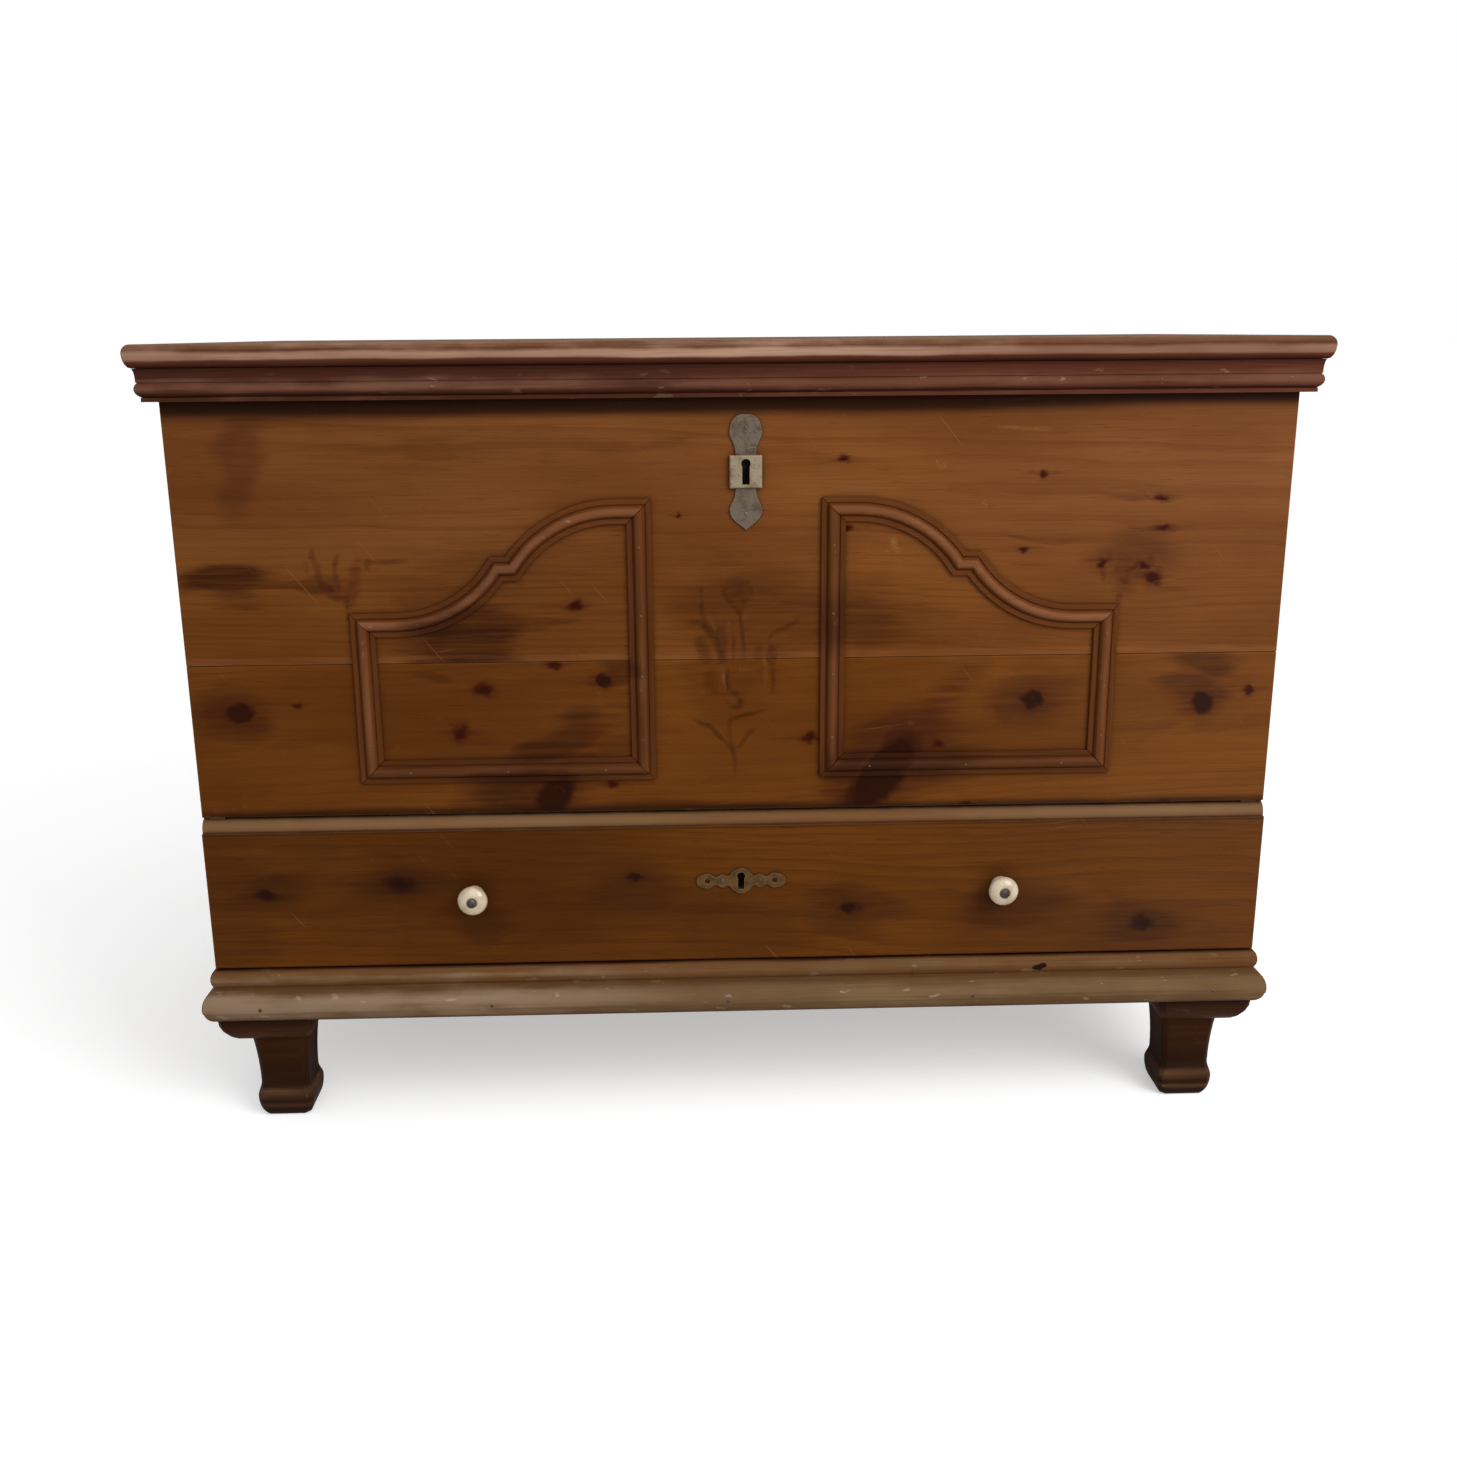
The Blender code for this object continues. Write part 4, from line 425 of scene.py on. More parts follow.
# %% Node groups: scratches and dust
bench, given, wanted = new_group(
    "scratches", [("Position", "Vector", (0, 0, 0))], [("Scratch", "Float"), ("Dent", "Float")])
marks = []
for turn, stretch in ((0.12, (7, 7, 420)), (-0.9, (10, 10, 520))):
    feeds = {"Vector": given["Position"], "Rotation": (0.0, turn, 0.0)}
    turned = bench.put("Mapping", feeds, vector_type="POINT").outputs[0]
    marks.append(bench.span(bench.cloud(turned, stretch, detail=1), 0.745, 0.775))
where = bench.span(bench.cloud(given["Position"], (9, 9, 9)), 0.52, 0.64)
bench.feed(wanted["Scratch"], bench.times(bench.most(*marks), where))
bench.feed(wanted["Dent"], bench.span(bench.cloud(given["Position"], (70, 70, 70), detail=1), 0.70, 0.80))

bench, given, wanted = new_group(
    "dust", [("Position", "Vector", (0, 0, 0))], [("Dust", "Float")])
upward = bench.apart(bench.put("TexCoord").outputs["Normal"])["Z"]
lying = bench.span(bench.cloud(given["Position"], (26, 26, 26), detail=4, rough=0.65), 0.30, 0.75)
bench.feed(wanted["Dust"], bench.times(bench.span(upward, 0.70, 0.98), lying))
print("groups scratches and dust")

# %% [markdown]
# ## Boards of old pine
# All the boards share one recipe. Small red pins, big knots and shaded patches are laid down from lists,
# and the grain bends round them. Colours build up from pale early wood to late wood, then the tail and
# halo round a knot, then its dark core. Scratches, worn edges, grime with painted shade in the corners and
# dust come last. One finish for all boards would repeat the same knots everywhere, so each board brings
# its own tones, pith and lists.

# %% Tones of waxed and bare pine
def tones_of(**shades):
    """A set of named tones, each written as on a screen."""
    return {name: colour(*shade) for name, shade in shades.items()}


FRONT_TONES = tones_of(early=(122, 74, 36), deep=(101, 57, 23), late=(90, 47, 17), pin=(62, 17, 3),
                       halo=(66, 29, 10), patch=(46, 19, 8), core=(34, 13, 4), worn=(142, 94, 50),
                       grime=(30, 13, 5))
RAW_TONES = tones_of(early=(158, 124, 86), deep=(132, 100, 66), late=(118, 82, 50), pin=(84, 52, 32),
                     halo=(92, 58, 36), patch=(104, 74, 48), core=(48, 28, 18), worn=(176, 146, 108),
                     grime=(62, 45, 32))
DUST_TONE = colour(150, 138, 122)
print("tones of a board:", ", ".join(FRONT_TONES))

# %% Lay knots and patches
FAR_AWAY = 9.0


def turned_place(bench, axes):
    """The resting place with its first axis along the grain and its third across the board's face."""
    place = rest_place(bench)
    if axes == "XYZ":
        return place
    parts = bench.apart(place)
    return bench.together(*(parts[letter] for letter in axes))


def set_knot(bench, place, along, across, half_long, half_high, turn):
    feeds = {"Position": place, "Place": (along, 0.0, across), "Reach": (half_long, 1.0, half_high),
             "Turn": radians(turn)}
    return use_group(bench, "knot", feeds)


def lay_knots(bench, place, knots):
    """Nearest knot and nearest tail, in their own half lengths, and the push of all knots on the grain."""
    nearest, tail, bend = FAR_AWAY, FAR_AWAY, 0.0
    if not knots:
        return nearest, tail, bend
    loose = bench.vector("ADD", place, bench.drift(place, (55, 55, 55), 0.008))
    loose = bench.vector("ADD", loose, bench.drift(place, (110, 170, 170), 0.008))
    for row in knots:
        knot = set_knot(bench, loose, *row)
        nearest = bench.math("MINIMUM", knot["Distance"], nearest)
        tail = bench.math("MINIMUM", knot["Tail"], tail)
        bend = bench.plus(knot["Bend"], bend)
    return nearest, tail, bend


def lay_patches(bench, place, patches):
    """Broad shades with ragged ends along the grain, such as stain round a branch, as one mask."""
    mask = 0.0
    if not patches:
        return mask
    bent = bench.vector("ADD", place, bench.drift(place, (9, 30, 30), 0.05))
    ragged = bench.scaled(bench.cloud(place, (8, 60, 60), detail=4, rough=0.62), 1.3, -0.65)
    for *row, strength in patches:
        away = bench.plus(set_knot(bench, bent, *row)["Distance"], ragged)
        mask = bench.most(bench.span(away, 1.25, 0.45, 0.0, strength), mask)
    return mask


print("helpers for knots and patches ready")

# %% Colour a board
def board_wood(bench, place, tones, grain, pin, knot, patches):
    """From pale early wood to dark cores. Pin and knot are each a nearest distance and a nearest tail."""
    near_pin, pin_tail = pin
    near_knot, knot_tail = knot
    streak = bench.span(bench.cloud(place, (6, 170, 170), detail=4, rough=0.6), 0.36, 0.64)
    wood = bench.tint(bench.span(grain["Wax"], 0.34, 0.68), tones["early"], tones["deep"])
    wood = bench.tint(bench.times(grain["Late Wood"], 0.42), wood, tones["late"])
    wood = bench.tint(bench.span(grain["Fibre"], 0.42, 0.70, 0.0, 0.30), wood, tones["late"])
    wood = bench.tint(bench.times(grain["Pores"], 0.35), wood, tones["halo"])
    shade = bench.times(lay_patches(bench, place, patches), bench.span(streak, 0, 1, 0.72, 1.0))
    wood = bench.tint(shade, wood, tones["patch"])
    tails = bench.most(bench.span(knot_tail, 1.4, 0.2, 0.0, 0.7), bench.span(pin_tail, 1.3, 0.2, 0.0, 0.5))
    wood = bench.tint(bench.times(tails, streak), wood, tones["halo"])
    halo = bench.most(bench.span(near_knot, 2.5, 0.9, 0.0, 0.65), bench.span(near_pin, 2.0, 0.8, 0.0, 0.4))
    wood = bench.tint(bench.times(halo, bench.span(streak, 0, 1, 0.55, 1.0)), wood, tones["halo"])
    wood = bench.tint(bench.span(near_pin, 1.30, 0.45), wood, tones["pin"])
    wood = bench.tint(bench.span(near_pin, 0.80, 0.25, 0.0, 0.7), wood, tones["core"])
    eye = bench.math("FRACT", bench.times(near_knot, 4.5))
    heart = bench.tint(bench.times(eye, 0.22), tones["core"], tones["pin"])
    return bench.tint(bench.span(near_knot, 1.20, 0.62), wood, heart)


print("colours of a board ready")

# %% The recipe for a board
BOARD_SPECULAR = 0.03
RUBBED_EDGE = 0.0025
BOARD_BUMP = 0.0006


def pine_board(name, tones, axes="XYZ", pith=(0, 0.1, 0), lean=0.03, ring=0.0045, shift=(0, 0, 0), pins=(),
               knots=(), patches=(), gloss=0.50, grime_reach=0.02, over=None):
    """A finish for one board; over(bench, place, grain, wood) may lay more colour on the wood."""
    finish, bench, shader = new_finish(name, specular=BOARD_SPECULAR)
    place = turned_place(bench, axes)
    *pin, pin_bend = lay_knots(bench, place, pins)
    *knot, knot_bend = lay_knots(bench, place, knots)
    feeds = {"Position": place, "Pith": pith, "Lean": lean, "Ring Width": ring, "Shift": shift,
             "Bend": bench.plus(pin_bend, knot_bend)}
    grain = use_group(bench, "pine_grain", feeds)
    wood = board_wood(bench, place, tones, grain, pin, knot, patches)
    if over:
        wood = over(bench, place, grain, wood)
    marks = use_group(bench, "scratches", {"Position": place})
    wood = bench.tint(bench.times(marks["Scratch"], 0.35), wood, tones["worn"])
    wear = use_group(bench, "edge_wear", {"Position": place, "Radius": RUBBED_EDGE})["Wear"]
    wood = bench.tint(bench.times(wear, 0.5), wood, tones["worn"])
    # Grime and painted shade darken the inner corners.
    dirt = use_group(bench, "grime", {"Position": place, "Reach": grime_reach})["Grime And Shade"]
    wood = bench.tint(bench.times(dirt, 0.85), wood, tones["grime"])
    dust = use_group(bench, "dust", {"Position": place})["Dust"]
    wood = bench.tint(bench.times(dust, 0.10), wood, DUST_TONE)
    rough = bench.scaled(grain["Fibre"], 0.22, gloss - 0.11)
    rough = bench.scaled(dust, 0.15, bench.scaled(dirt, 0.25, rough))
    raised = bench.scaled(grain["Pores"], -0.5, bench.times(grain["Fibre"], 0.6))
    raised = bench.scaled(marks["Scratch"], -0.5, raised)
    raised = bench.scaled(marks["Dent"], -0.8, raised)
    coat(bench, shader, wood, rough, raised, 0.5, BOARD_BUMP)
    return finish


def left_bare(bench, grain, wood, mask):
    """Wood without wax where the mask is 1, as on the inside of the case."""
    bare = bench.tint(bench.span(grain["Wax"], 0.34, 0.68), RAW_TONES["early"], RAW_TONES["deep"])
    bare = bench.tint(bench.times(grain["Late Wood"], 0.6), bare, RAW_TONES["late"])
    return bench.tint(bench.times(mask, 0.82), wood, bare)


def dress(finish, *names):
    """Gives CAD nodes a finish in their own material slots."""
    for name in names:
        for slot in NODES[name].material_slots:
            slot.material = finish


print("recipe pine_board ready")

# %% [markdown]
# ## The front
# The two front boards carry most of the knots: small red pins above, big dark knots below, and one
# leaning branch near the drawer. Knots strewn at random would be quicker, but this face is what makes the
# chest known, so their places were measured on the photo. Each row gives the place along and across, the
# half length and the half height in tenths of a millimetre, the turn in degrees and, for a patch, its
# strength.

# %% Knots and patches of the front boards
TENTHS = 10000


def in_metres(rows):
    """Rows that start with up to four lengths in tenths of a millimetre, with those lengths in metres."""
    return [(*(length / TENTHS for length in row[:4]), *row[4:]) for row in rows]


UPPER_PINS = in_metres([
    (-572, 6578, 30, 22, 0), (-1601, 5697, 88, 56, 0), (1053, 7110, 62, 36, 0), (1094, 6457, 65, 33, 0),
    (2849, 6212, 64, 38, 0), (3021, 6950, 52, 41, 0), (3645, 6066, 42, 58, 0),
    (4185, 5905, 105, 78, 25), (4205, 6696, 78, 36, 3), (4246, 6401, 80, 38, 0),
    (4080, 6030, 60, 40, 20),
])
UPPER_PATCHES = in_metres([
    (-5060, 5945, 560, 170, 0, 0.88), (-4427, 5910, 540, 60, 0, 0.62), (-2727, 5400, 800, 400, 0, 0.8),
    (-2700, 5340, 740, 200, 0, 0.92), (-2045, 5521, 620, 75, 8, 0.62), (-3180, 5778, 330, 100, 0, 0.4),
    (-4786, 7106, 220, 600, 20, 0.42), (774, 5509, 1500, 380, 0, 0.46), (1273, 5480, 640, 330, 0, 0.62),
    (-13, 5600, 760, 640, 0, 0.52), (3955, 6095, 520, 240, 0, 0.42), (3000, 6330, 500, 50, 4, 0.3),
    (3900, 6780, 450, 45, 5, 0.34), (-2100, 7300, 2200, 80, 0, 0.22), (-2200, 5600, 1500, 900, 0, 0.36),
])
LOWER_PINS = in_metres([
    (-1295, 3839, 58, 40, 0), (-1842, 5110, 98, 50, 0), (-2555, 4852, 118, 84, 0),
    (-2812, 4404, 85, 104, 20), (-4427, 4714, 58, 38, 0), (740, 4305, 90, 56, 0),
    (2061, 4218, 74, 54, 0), (2382, 3566, 62, 27, 0), (4466, 3560, 60, 24, 0), (5238, 4739, 60, 52, 0),
])
LOWER_KNOTS = in_metres([
    (-1346, 4929, 92, 70, 0), (-1870, 3730, 270, 180, -55), (-5012, 4648, 158, 105, -5),
    (1500, 3900, 560, 220, -52), (3016, 4663, 118, 105, 0), (4769, 4606, 120, 125, -30),
])
LOWER_PATCHES = in_metres([
    (-1181, 5059, 260, 140, 0, 0.62), (-1243, 4244, 200, 200, 0, 0.45),
    (-1873, 4275, 500, 240, -25, 0.8), (-2220, 3770, 680, 260, 0, 0.86), (-3148, 5005, 260, 70, 0, 0.5),
    (-5115, 4640, 400, 270, 0, 0.58), (1595, 4060, 840, 540, 0, 0.62),
    (1629, 4440, 480, 220, -15, 0.68), (1500, 3900, 580, 260, -52, 1.15),
    (2773, 4580, 150, 260, 0, 0.5), (3023, 4685, 480, 380, 0, 0.52), (4698, 4803, 340, 250, -20, 0.66),
    (4829, 5048, 400, 150, 0, 0.74), (-400, 3620, 1500, 70, 0, 0.35), (-2200, 4500, 1500, 800, 0, 0.26),
    (-100, 4900, 560, 400, 0, 0.34), (1120, 3950, 300, 320, 0, 0.74),
    (-1870, 3730, 320, 210, -55, 0.92),
])
print("front pins:", len(UPPER_PINS) + len(LOWER_PINS), "knots:", len(LOWER_KNOTS))

# %% [markdown]
# Age and painted light lie over both boards alike. A painted shadow lies under the rim and over the
# drawer, painted shade darkens the left end, the wax is warmer above the seam and a painted grey sheen
# lies over the right end. Each board could have shades of its own. Shades that go by the place on the
# whole front run on over the seam, as they do on the real one. The inside was never waxed.

# %% Front boards
FACE_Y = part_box("front_board_upper")[0].y
INSIDE_Y = FACE_Y + 0.006
INSIDE_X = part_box("side_board_right")[0].x
RIM_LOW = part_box("lid_rim_front")[0].z
FRONT_LOW, SEAM = (corner.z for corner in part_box("front_board_lower"))
WARM = (0.87, 0.82, 0.58, 1)
# A painted grey sheen over the right end of the front and the drawer.
PAINTED_SHEEN = 0.024
SHEEN_TONE = colour(110, 110, 110)
# How dark the painted shade at the left end of the front is.
PAINTED_LEFT_SHADE = 0.18
BARE_EDGE = 0.003
LOWER_TONES = FRONT_TONES | tones_of(early=(110, 63, 19), deep=(91, 49, 11), late=(81, 40, 9))


def painted_sheen_right(bench, parts, wood):
    """A painted grey sheen over the wax, more to the right, where the light lies flatter."""
    return bench.tint(bench.span(parts["X"], 0.10, 0.50, 0.0, PAINTED_SHEEN), wood, SHEEN_TONE)


def front_marks(bench, place, grain, wood):
    parts = bench.apart(rest_place(bench))
    shaken = bench.scaled(bench.cloud(place, (6, 40, 40), detail=3), 0.008, parts["Z"])
    less_right = bench.plus(shaken, bench.span(parts["X"], 0.10, 0.45, 0.0, -0.006))
    # Painted shadow: a dark band under the rim, narrower to the right and fading behind the rim, and one
    # over the drawer.
    shadow_below_rim = bench.span(less_right, RIM_LOW - 0.018, RIM_LOW - 0.006, 0.0, 0.90)
    behind_rim = bench.span(shaken, RIM_LOW + 0.018, RIM_LOW + 0.004, 0.25, 1.0)
    shadow_over_drawer = bench.span(shaken, FRONT_LOW + 0.015, FRONT_LOW + 0.005, 0.0, 0.85)
    painted_shadow = bench.most(bench.times(shadow_below_rim, behind_rim), shadow_over_drawer)
    # Painted shade: the front darkens towards its left end.
    wood = bench.tint(bench.span(parts["X"], 0.25, -0.55, 0.0, PAINTED_LEFT_SHADE), wood, FRONT_TONES["patch"])
    above_seam = bench.span(parts["Z"], SEAM - 0.0005, SEAM + 0.0005)
    warm = bench.times(above_seam, bench.span(parts["Z"], SEAM + 0.16, SEAM + 0.03))
    wood = bench.vector("MULTIPLY", wood, bench.tint(warm, (1, 1, 1, 1), WARM))
    wood = bench.tint(painted_shadow, wood, FRONT_TONES["grime"])
    wood = painted_sheen_right(bench, parts, wood)
    within = bench.span(bench.math("ABSOLUTE", parts["X"]), INSIDE_X + BARE_EDGE, INSIDE_X)
    behind = bench.span(parts["Y"], INSIDE_Y, INSIDE_Y + BARE_EDGE)
    return left_bare(bench, grain, wood, bench.times(within, behind))


front_upper = pine_board("front_upper_pine", FRONT_TONES, pith=(0, -0.10, 0.69), lean=0.035,
                         shift=(3.1, 0.4, 0.2), pins=UPPER_PINS, patches=UPPER_PATCHES, grime_reach=0.03,
                         over=front_marks)
front_lower = pine_board("front_lower_pine", LOWER_TONES, pith=(0, -0.12, 0.44), lean=-0.03, ring=0.0043,
                         shift=(8.4, 1.4, 2.2), pins=LOWER_PINS, knots=LOWER_KNOTS, patches=LOWER_PATCHES,
                         grime_reach=0.03, over=front_marks)
dress(front_upper, "front_board_upper")
dress(front_lower, "front_board_lower")
print("front boards dressed; the seam lies at", round(SEAM, 4), "m")

# %% [markdown]
# ## The drawer front
# The drawer front is darker than the boards above it. Its top edge is a small moulding, rubbed paler by
# hands and lighter still as a painted highlight where light from above falls on it, with a line of painted
# shade under it. The moulding could have a finish of its own, but it is cut from the same board, so the
# rub and the painted highlight are a band laid over the same grain.

# %% Drawer front
DRAWER_TONES = FRONT_TONES | tones_of(early=(94, 52, 12), deep=(70, 36, 7), late=(60, 28, 5),
                                      pin=(40, 16, 7), halo=(46, 21, 9), patch=(44, 20, 8),
                                      worn=(126, 86, 50))
RUBBED_AND_LIT_TONE = colour(121, 90, 61)
DRAWER_PINS = in_metres([
    (-3518, 2810, 185, 110, 0), (-4916, 2715, 120, 68, 0), (-1081, 2840, 100, 48, 0),
    (1172, 2449, 145, 62, 0), (4278, 2228, 125, 85, 0),
])
DRAWER_PATCHES = in_metres([
    (-3518, 2800, 500, 280, 0, 0.55), (-4916, 2715, 500, 220, 0, 0.55),
    (-2611, 2334, 340, 240, 0, 0.55), (-1081, 2700, 580, 360, 0, 0.45), (1172, 2449, 600, 300, 0, 0.5),
    (2950, 2440, 580, 300, 0, 0.5), (4278, 2228, 480, 300, 0, 0.6), (-5300, 2500, 600, 900, 0, 0.4),
    (30, 2240, 950, 360, 0, 0.34),
])
DRAWER_LOW, DRAWER_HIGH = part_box("drawer_front")
MOULDED_FROM = DRAWER_HIGH.z - 0.0145
DRAWER_INSIDE = DRAWER_LOW.y + 0.014


def rubbed_and_lit_top(bench, place, grain, wood):
    parts = bench.apart(rest_place(bench))
    # Painted highlight with wear: the top moulding is lighter where it is rubbed and lit from above.
    rubbed = bench.span(parts["Z"], MOULDED_FROM, MOULDED_FROM + 0.0025)
    rubbed = bench.times(rubbed, bench.span(grain["Wax"], 0.25, 0.70, 0.45, 0.95))
    wood = bench.tint(rubbed, wood, RUBBED_AND_LIT_TONE)
    # Painted shade: a dark line under the moulding.
    shade_line = bench.math("ABSOLUTE", bench.math("SUBTRACT", parts["Z"], MOULDED_FROM - 0.0008))
    wood = bench.tint(bench.span(shade_line, 0.0022, 0.0006, 0.0, 0.45), wood, DRAWER_TONES["grime"])
    wood = painted_sheen_right(bench, parts, wood)
    inside = bench.span(parts["Y"], DRAWER_INSIDE, DRAWER_INSIDE + BARE_EDGE)
    return left_bare(bench, grain, wood, inside)


drawer_pine = pine_board("drawer_front_pine", DRAWER_TONES, pith=(0, -0.13, 0.25), lean=0.04,
                         shift=(14.0, 3.3, 0.7), pins=DRAWER_PINS, patches=DRAWER_PATCHES, over=rubbed_and_lit_top)
dress(drawer_pine, "drawer_front")
print("drawer knots:", len(DRAWER_PINS))

# %% [markdown]
# ## Sides and bare boards
# The photo shows neither the sides nor the back, but a joiner would take them from the same pile. Their
# knots come from a seeded list, so every run draws the same board. The sides are waxed like the front;
# the back, the chest floor and the inside of the drawer stay bare and grey.

# %% Knots for boards that the photo doesn't show
KNOT_SIZES = (0.004, 0.006, 0.008, 0.012)
BIG_KNOT = 0.007


def scattered_knots(seed, count, along, across):
    """Knots of mixed sizes inside a board, given the board's spans."""
    chance = random.Random(seed)
    knots = []
    for _ in range(count):
        size = chance.choice(KNOT_SIZES)
        place = (chance.uniform(*along), chance.uniform(*across))
        knots.append((*place, size * chance.uniform(1.1, 1.7), size, chance.uniform(-20, 20)))
    return knots


def halo_patches(knots, strength=0.5):
    """A soft shade round each of the bigger knots."""
    return [(along, across, long * 3.0, high * 2.8, turn, strength)
            for along, across, long, high, turn in knots if high > BIG_KNOT]


print("sizes of scattered knots:", KNOT_SIZES)

# %% Side boards
SIDE_LOW, SIDE_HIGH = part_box("side_board_right")
SIDE_KNOTS = 9


def outward_share(bench, start, end):
    """How far a point lies out to the left or right, from 0 at the start to 1 at the end."""
    outward = bench.math("ABSOLUTE", bench.apart(rest_place(bench))["X"])
    return bench.span(outward, SIDE_HIGH.x - start, SIDE_HIGH.x - end)


def bare_within(bench, place, grain, wood):
    return left_bare(bench, grain, wood, outward_share(bench, 0.005, 0.008))


def stained_ends(bench, place, grain, wood):
    """Tail ends that show on the sides took the stain of the sides."""
    return bench.tint(outward_share(bench, 0.0025, 0.0005), wood, FRONT_TONES["deep"])


for seed, side in ((21, "left"), (34, "right")):
    side_knots = scattered_knots(seed, SIDE_KNOTS, (SIDE_LOW.y + 0.04, SIDE_HIGH.y - 0.04),
                                 (SIDE_LOW.z + 0.04, SIDE_HIGH.z - 0.05))
    side_pine = pine_board("side_pine_" + side, FRONT_TONES, axes="YXZ", pith=(0, 0.0, 0.5),
                           shift=(seed, 0.3, 0.9), knots=side_knots, patches=halo_patches(side_knots),
                           over=bare_within)
    dress(side_pine, "side_board_" + side)
print("knots on each side board:", SIDE_KNOTS)

# %% Bare boards
RAW_BOARDS = {
    "XYZ": (10, (-0.5, 0.5), (0.2, 0.78), ["back_board_lower", "back_board_upper", "drawer_back"]),
    "XZY": (10, (-0.5, 0.5), (-0.22, 0.24), ["chest_floor_front", "chest_floor_back", "drawer_bottom"]),
    "YXZ": (4, (-0.22, 0.22), (0.2, 0.34), ["drawer_side_left", "drawer_side_right", "drawer_runner_left",
                                            "drawer_runner_right"]),
}
for seed, (axes, (count, along, across, names)) in enumerate(RAW_BOARDS.items(), 51):
    raw_knots = scattered_knots(seed, count, along, across)
    raw_pine = pine_board("bare_pine_" + axes.lower(), RAW_TONES, axes=axes, pith=(0, 0.1, 0.4), lean=0.025,
                          ring=0.0050, shift=(seed, 1.0, 2.0), knots=raw_knots,
                          patches=halo_patches(raw_knots, 0.35), gloss=0.72, over=stained_ends)
    dress(raw_pine, *names)
print("bare boards:", sum(len(names) for *spans, names in RAW_BOARDS.values()))

# %% [markdown]
# ## Stained and rubbed mouldings
# The rim under the lid, the plinth, the feet and the frames were once stained red-brown. Hands and brooms
# have rubbed the high rolls back to pale wood, and the hollows are darker, from stain, grime and painted
# shade. A roll lies at one height all round the chest, so bands of colour by height, shaken by long
# streaks of noise, follow every roll and hollow exactly. On the frames the bands go by how far a point
# stands off the board.

# %% Bands of stain
MOULDING_TONES = tones_of(bare=(152, 120, 92), bare_dark=(116, 84, 58), old_dirt=(34, 17, 10),
                          chip=(178, 146, 118))
MOULDING_SPECULAR = 0.04
MOULDING_ROUGH = 0.45
MOULDING_BUMP = 0.0007
STREAKS = (7, 60, 60)


def stops_above(low, rows):
    """Stops from rows of height above low in tenths of a millimetre, stain, and share rubbed away."""
    return [(low + height / TENTHS, stain, rubbed) for height, stain, rubbed in rows]


def stain_bands(bench, measure, stops):
    """Stops are (place in metres, stain there, share of it rubbed away). Gives the stain and the share."""
    low = stops[0][0]
    length = stops[-1][0] - low
    share = bench.math("DIVIDE", bench.math("SUBTRACT", measure, low), length, clamp=True)
    places = [(place - low) / length for place, stain, rubbed in stops]
    stain = bench.bands(share, list(zip(places, (stain for place, stain, rubbed in stops))))
    grey = bench.bands(share, [(place, (stop[2],) * 3 + (1,)) for place, stop in zip(places, stops)])
    return stain, bench.apart(grey)["X"]


def shaken_level(bench, place, level, shake):
    """A height that long streaks of noise push up and down by half the shake."""
    return bench.plus(level, bench.scaled(bench.cloud(place, STREAKS, detail=3), shake, -shake / 2))


def rub_through(bench, place, grain, stain, rubbed, tones):
    """Stain over wood, rubbed through in streaks along the grain. Gives the colour and where wood shows."""
    streak = bench.cloud(place, (4, 120, 120), detail=4, rough=0.6)
    patchy = bench.cloud(place, (16, 40, 40), detail=3, rough=0.6)
    blotchy = bench.cloud(place, (3.4, 9, 9), detail=3, rough=0.55)
    uneven = bench.scaled(bench.plus(streak, patchy), 0.7, -1.15)
    uneven = bench.scaled(blotchy, 0.9, uneven)
    bare = bench.span(bench.plus(rubbed, uneven), 0.18, 0.88)
    wood = bench.tint(bench.span(grain["Wax"], 0.34, 0.66), tones["bare"], tones["bare_dark"])
    wood = bench.tint(bench.span(grain["Fibre"], 0.45, 0.72, 0.0, 0.5), wood, tones["bare_dark"])
    stain = bench.tint(bench.span(grain["Fibre"], 0.45, 0.75, 0.0, 0.35), stain, tones["old_dirt"])
    return bench.tint(bare, stain, wood), bare


print("helpers for bands of stain ready")

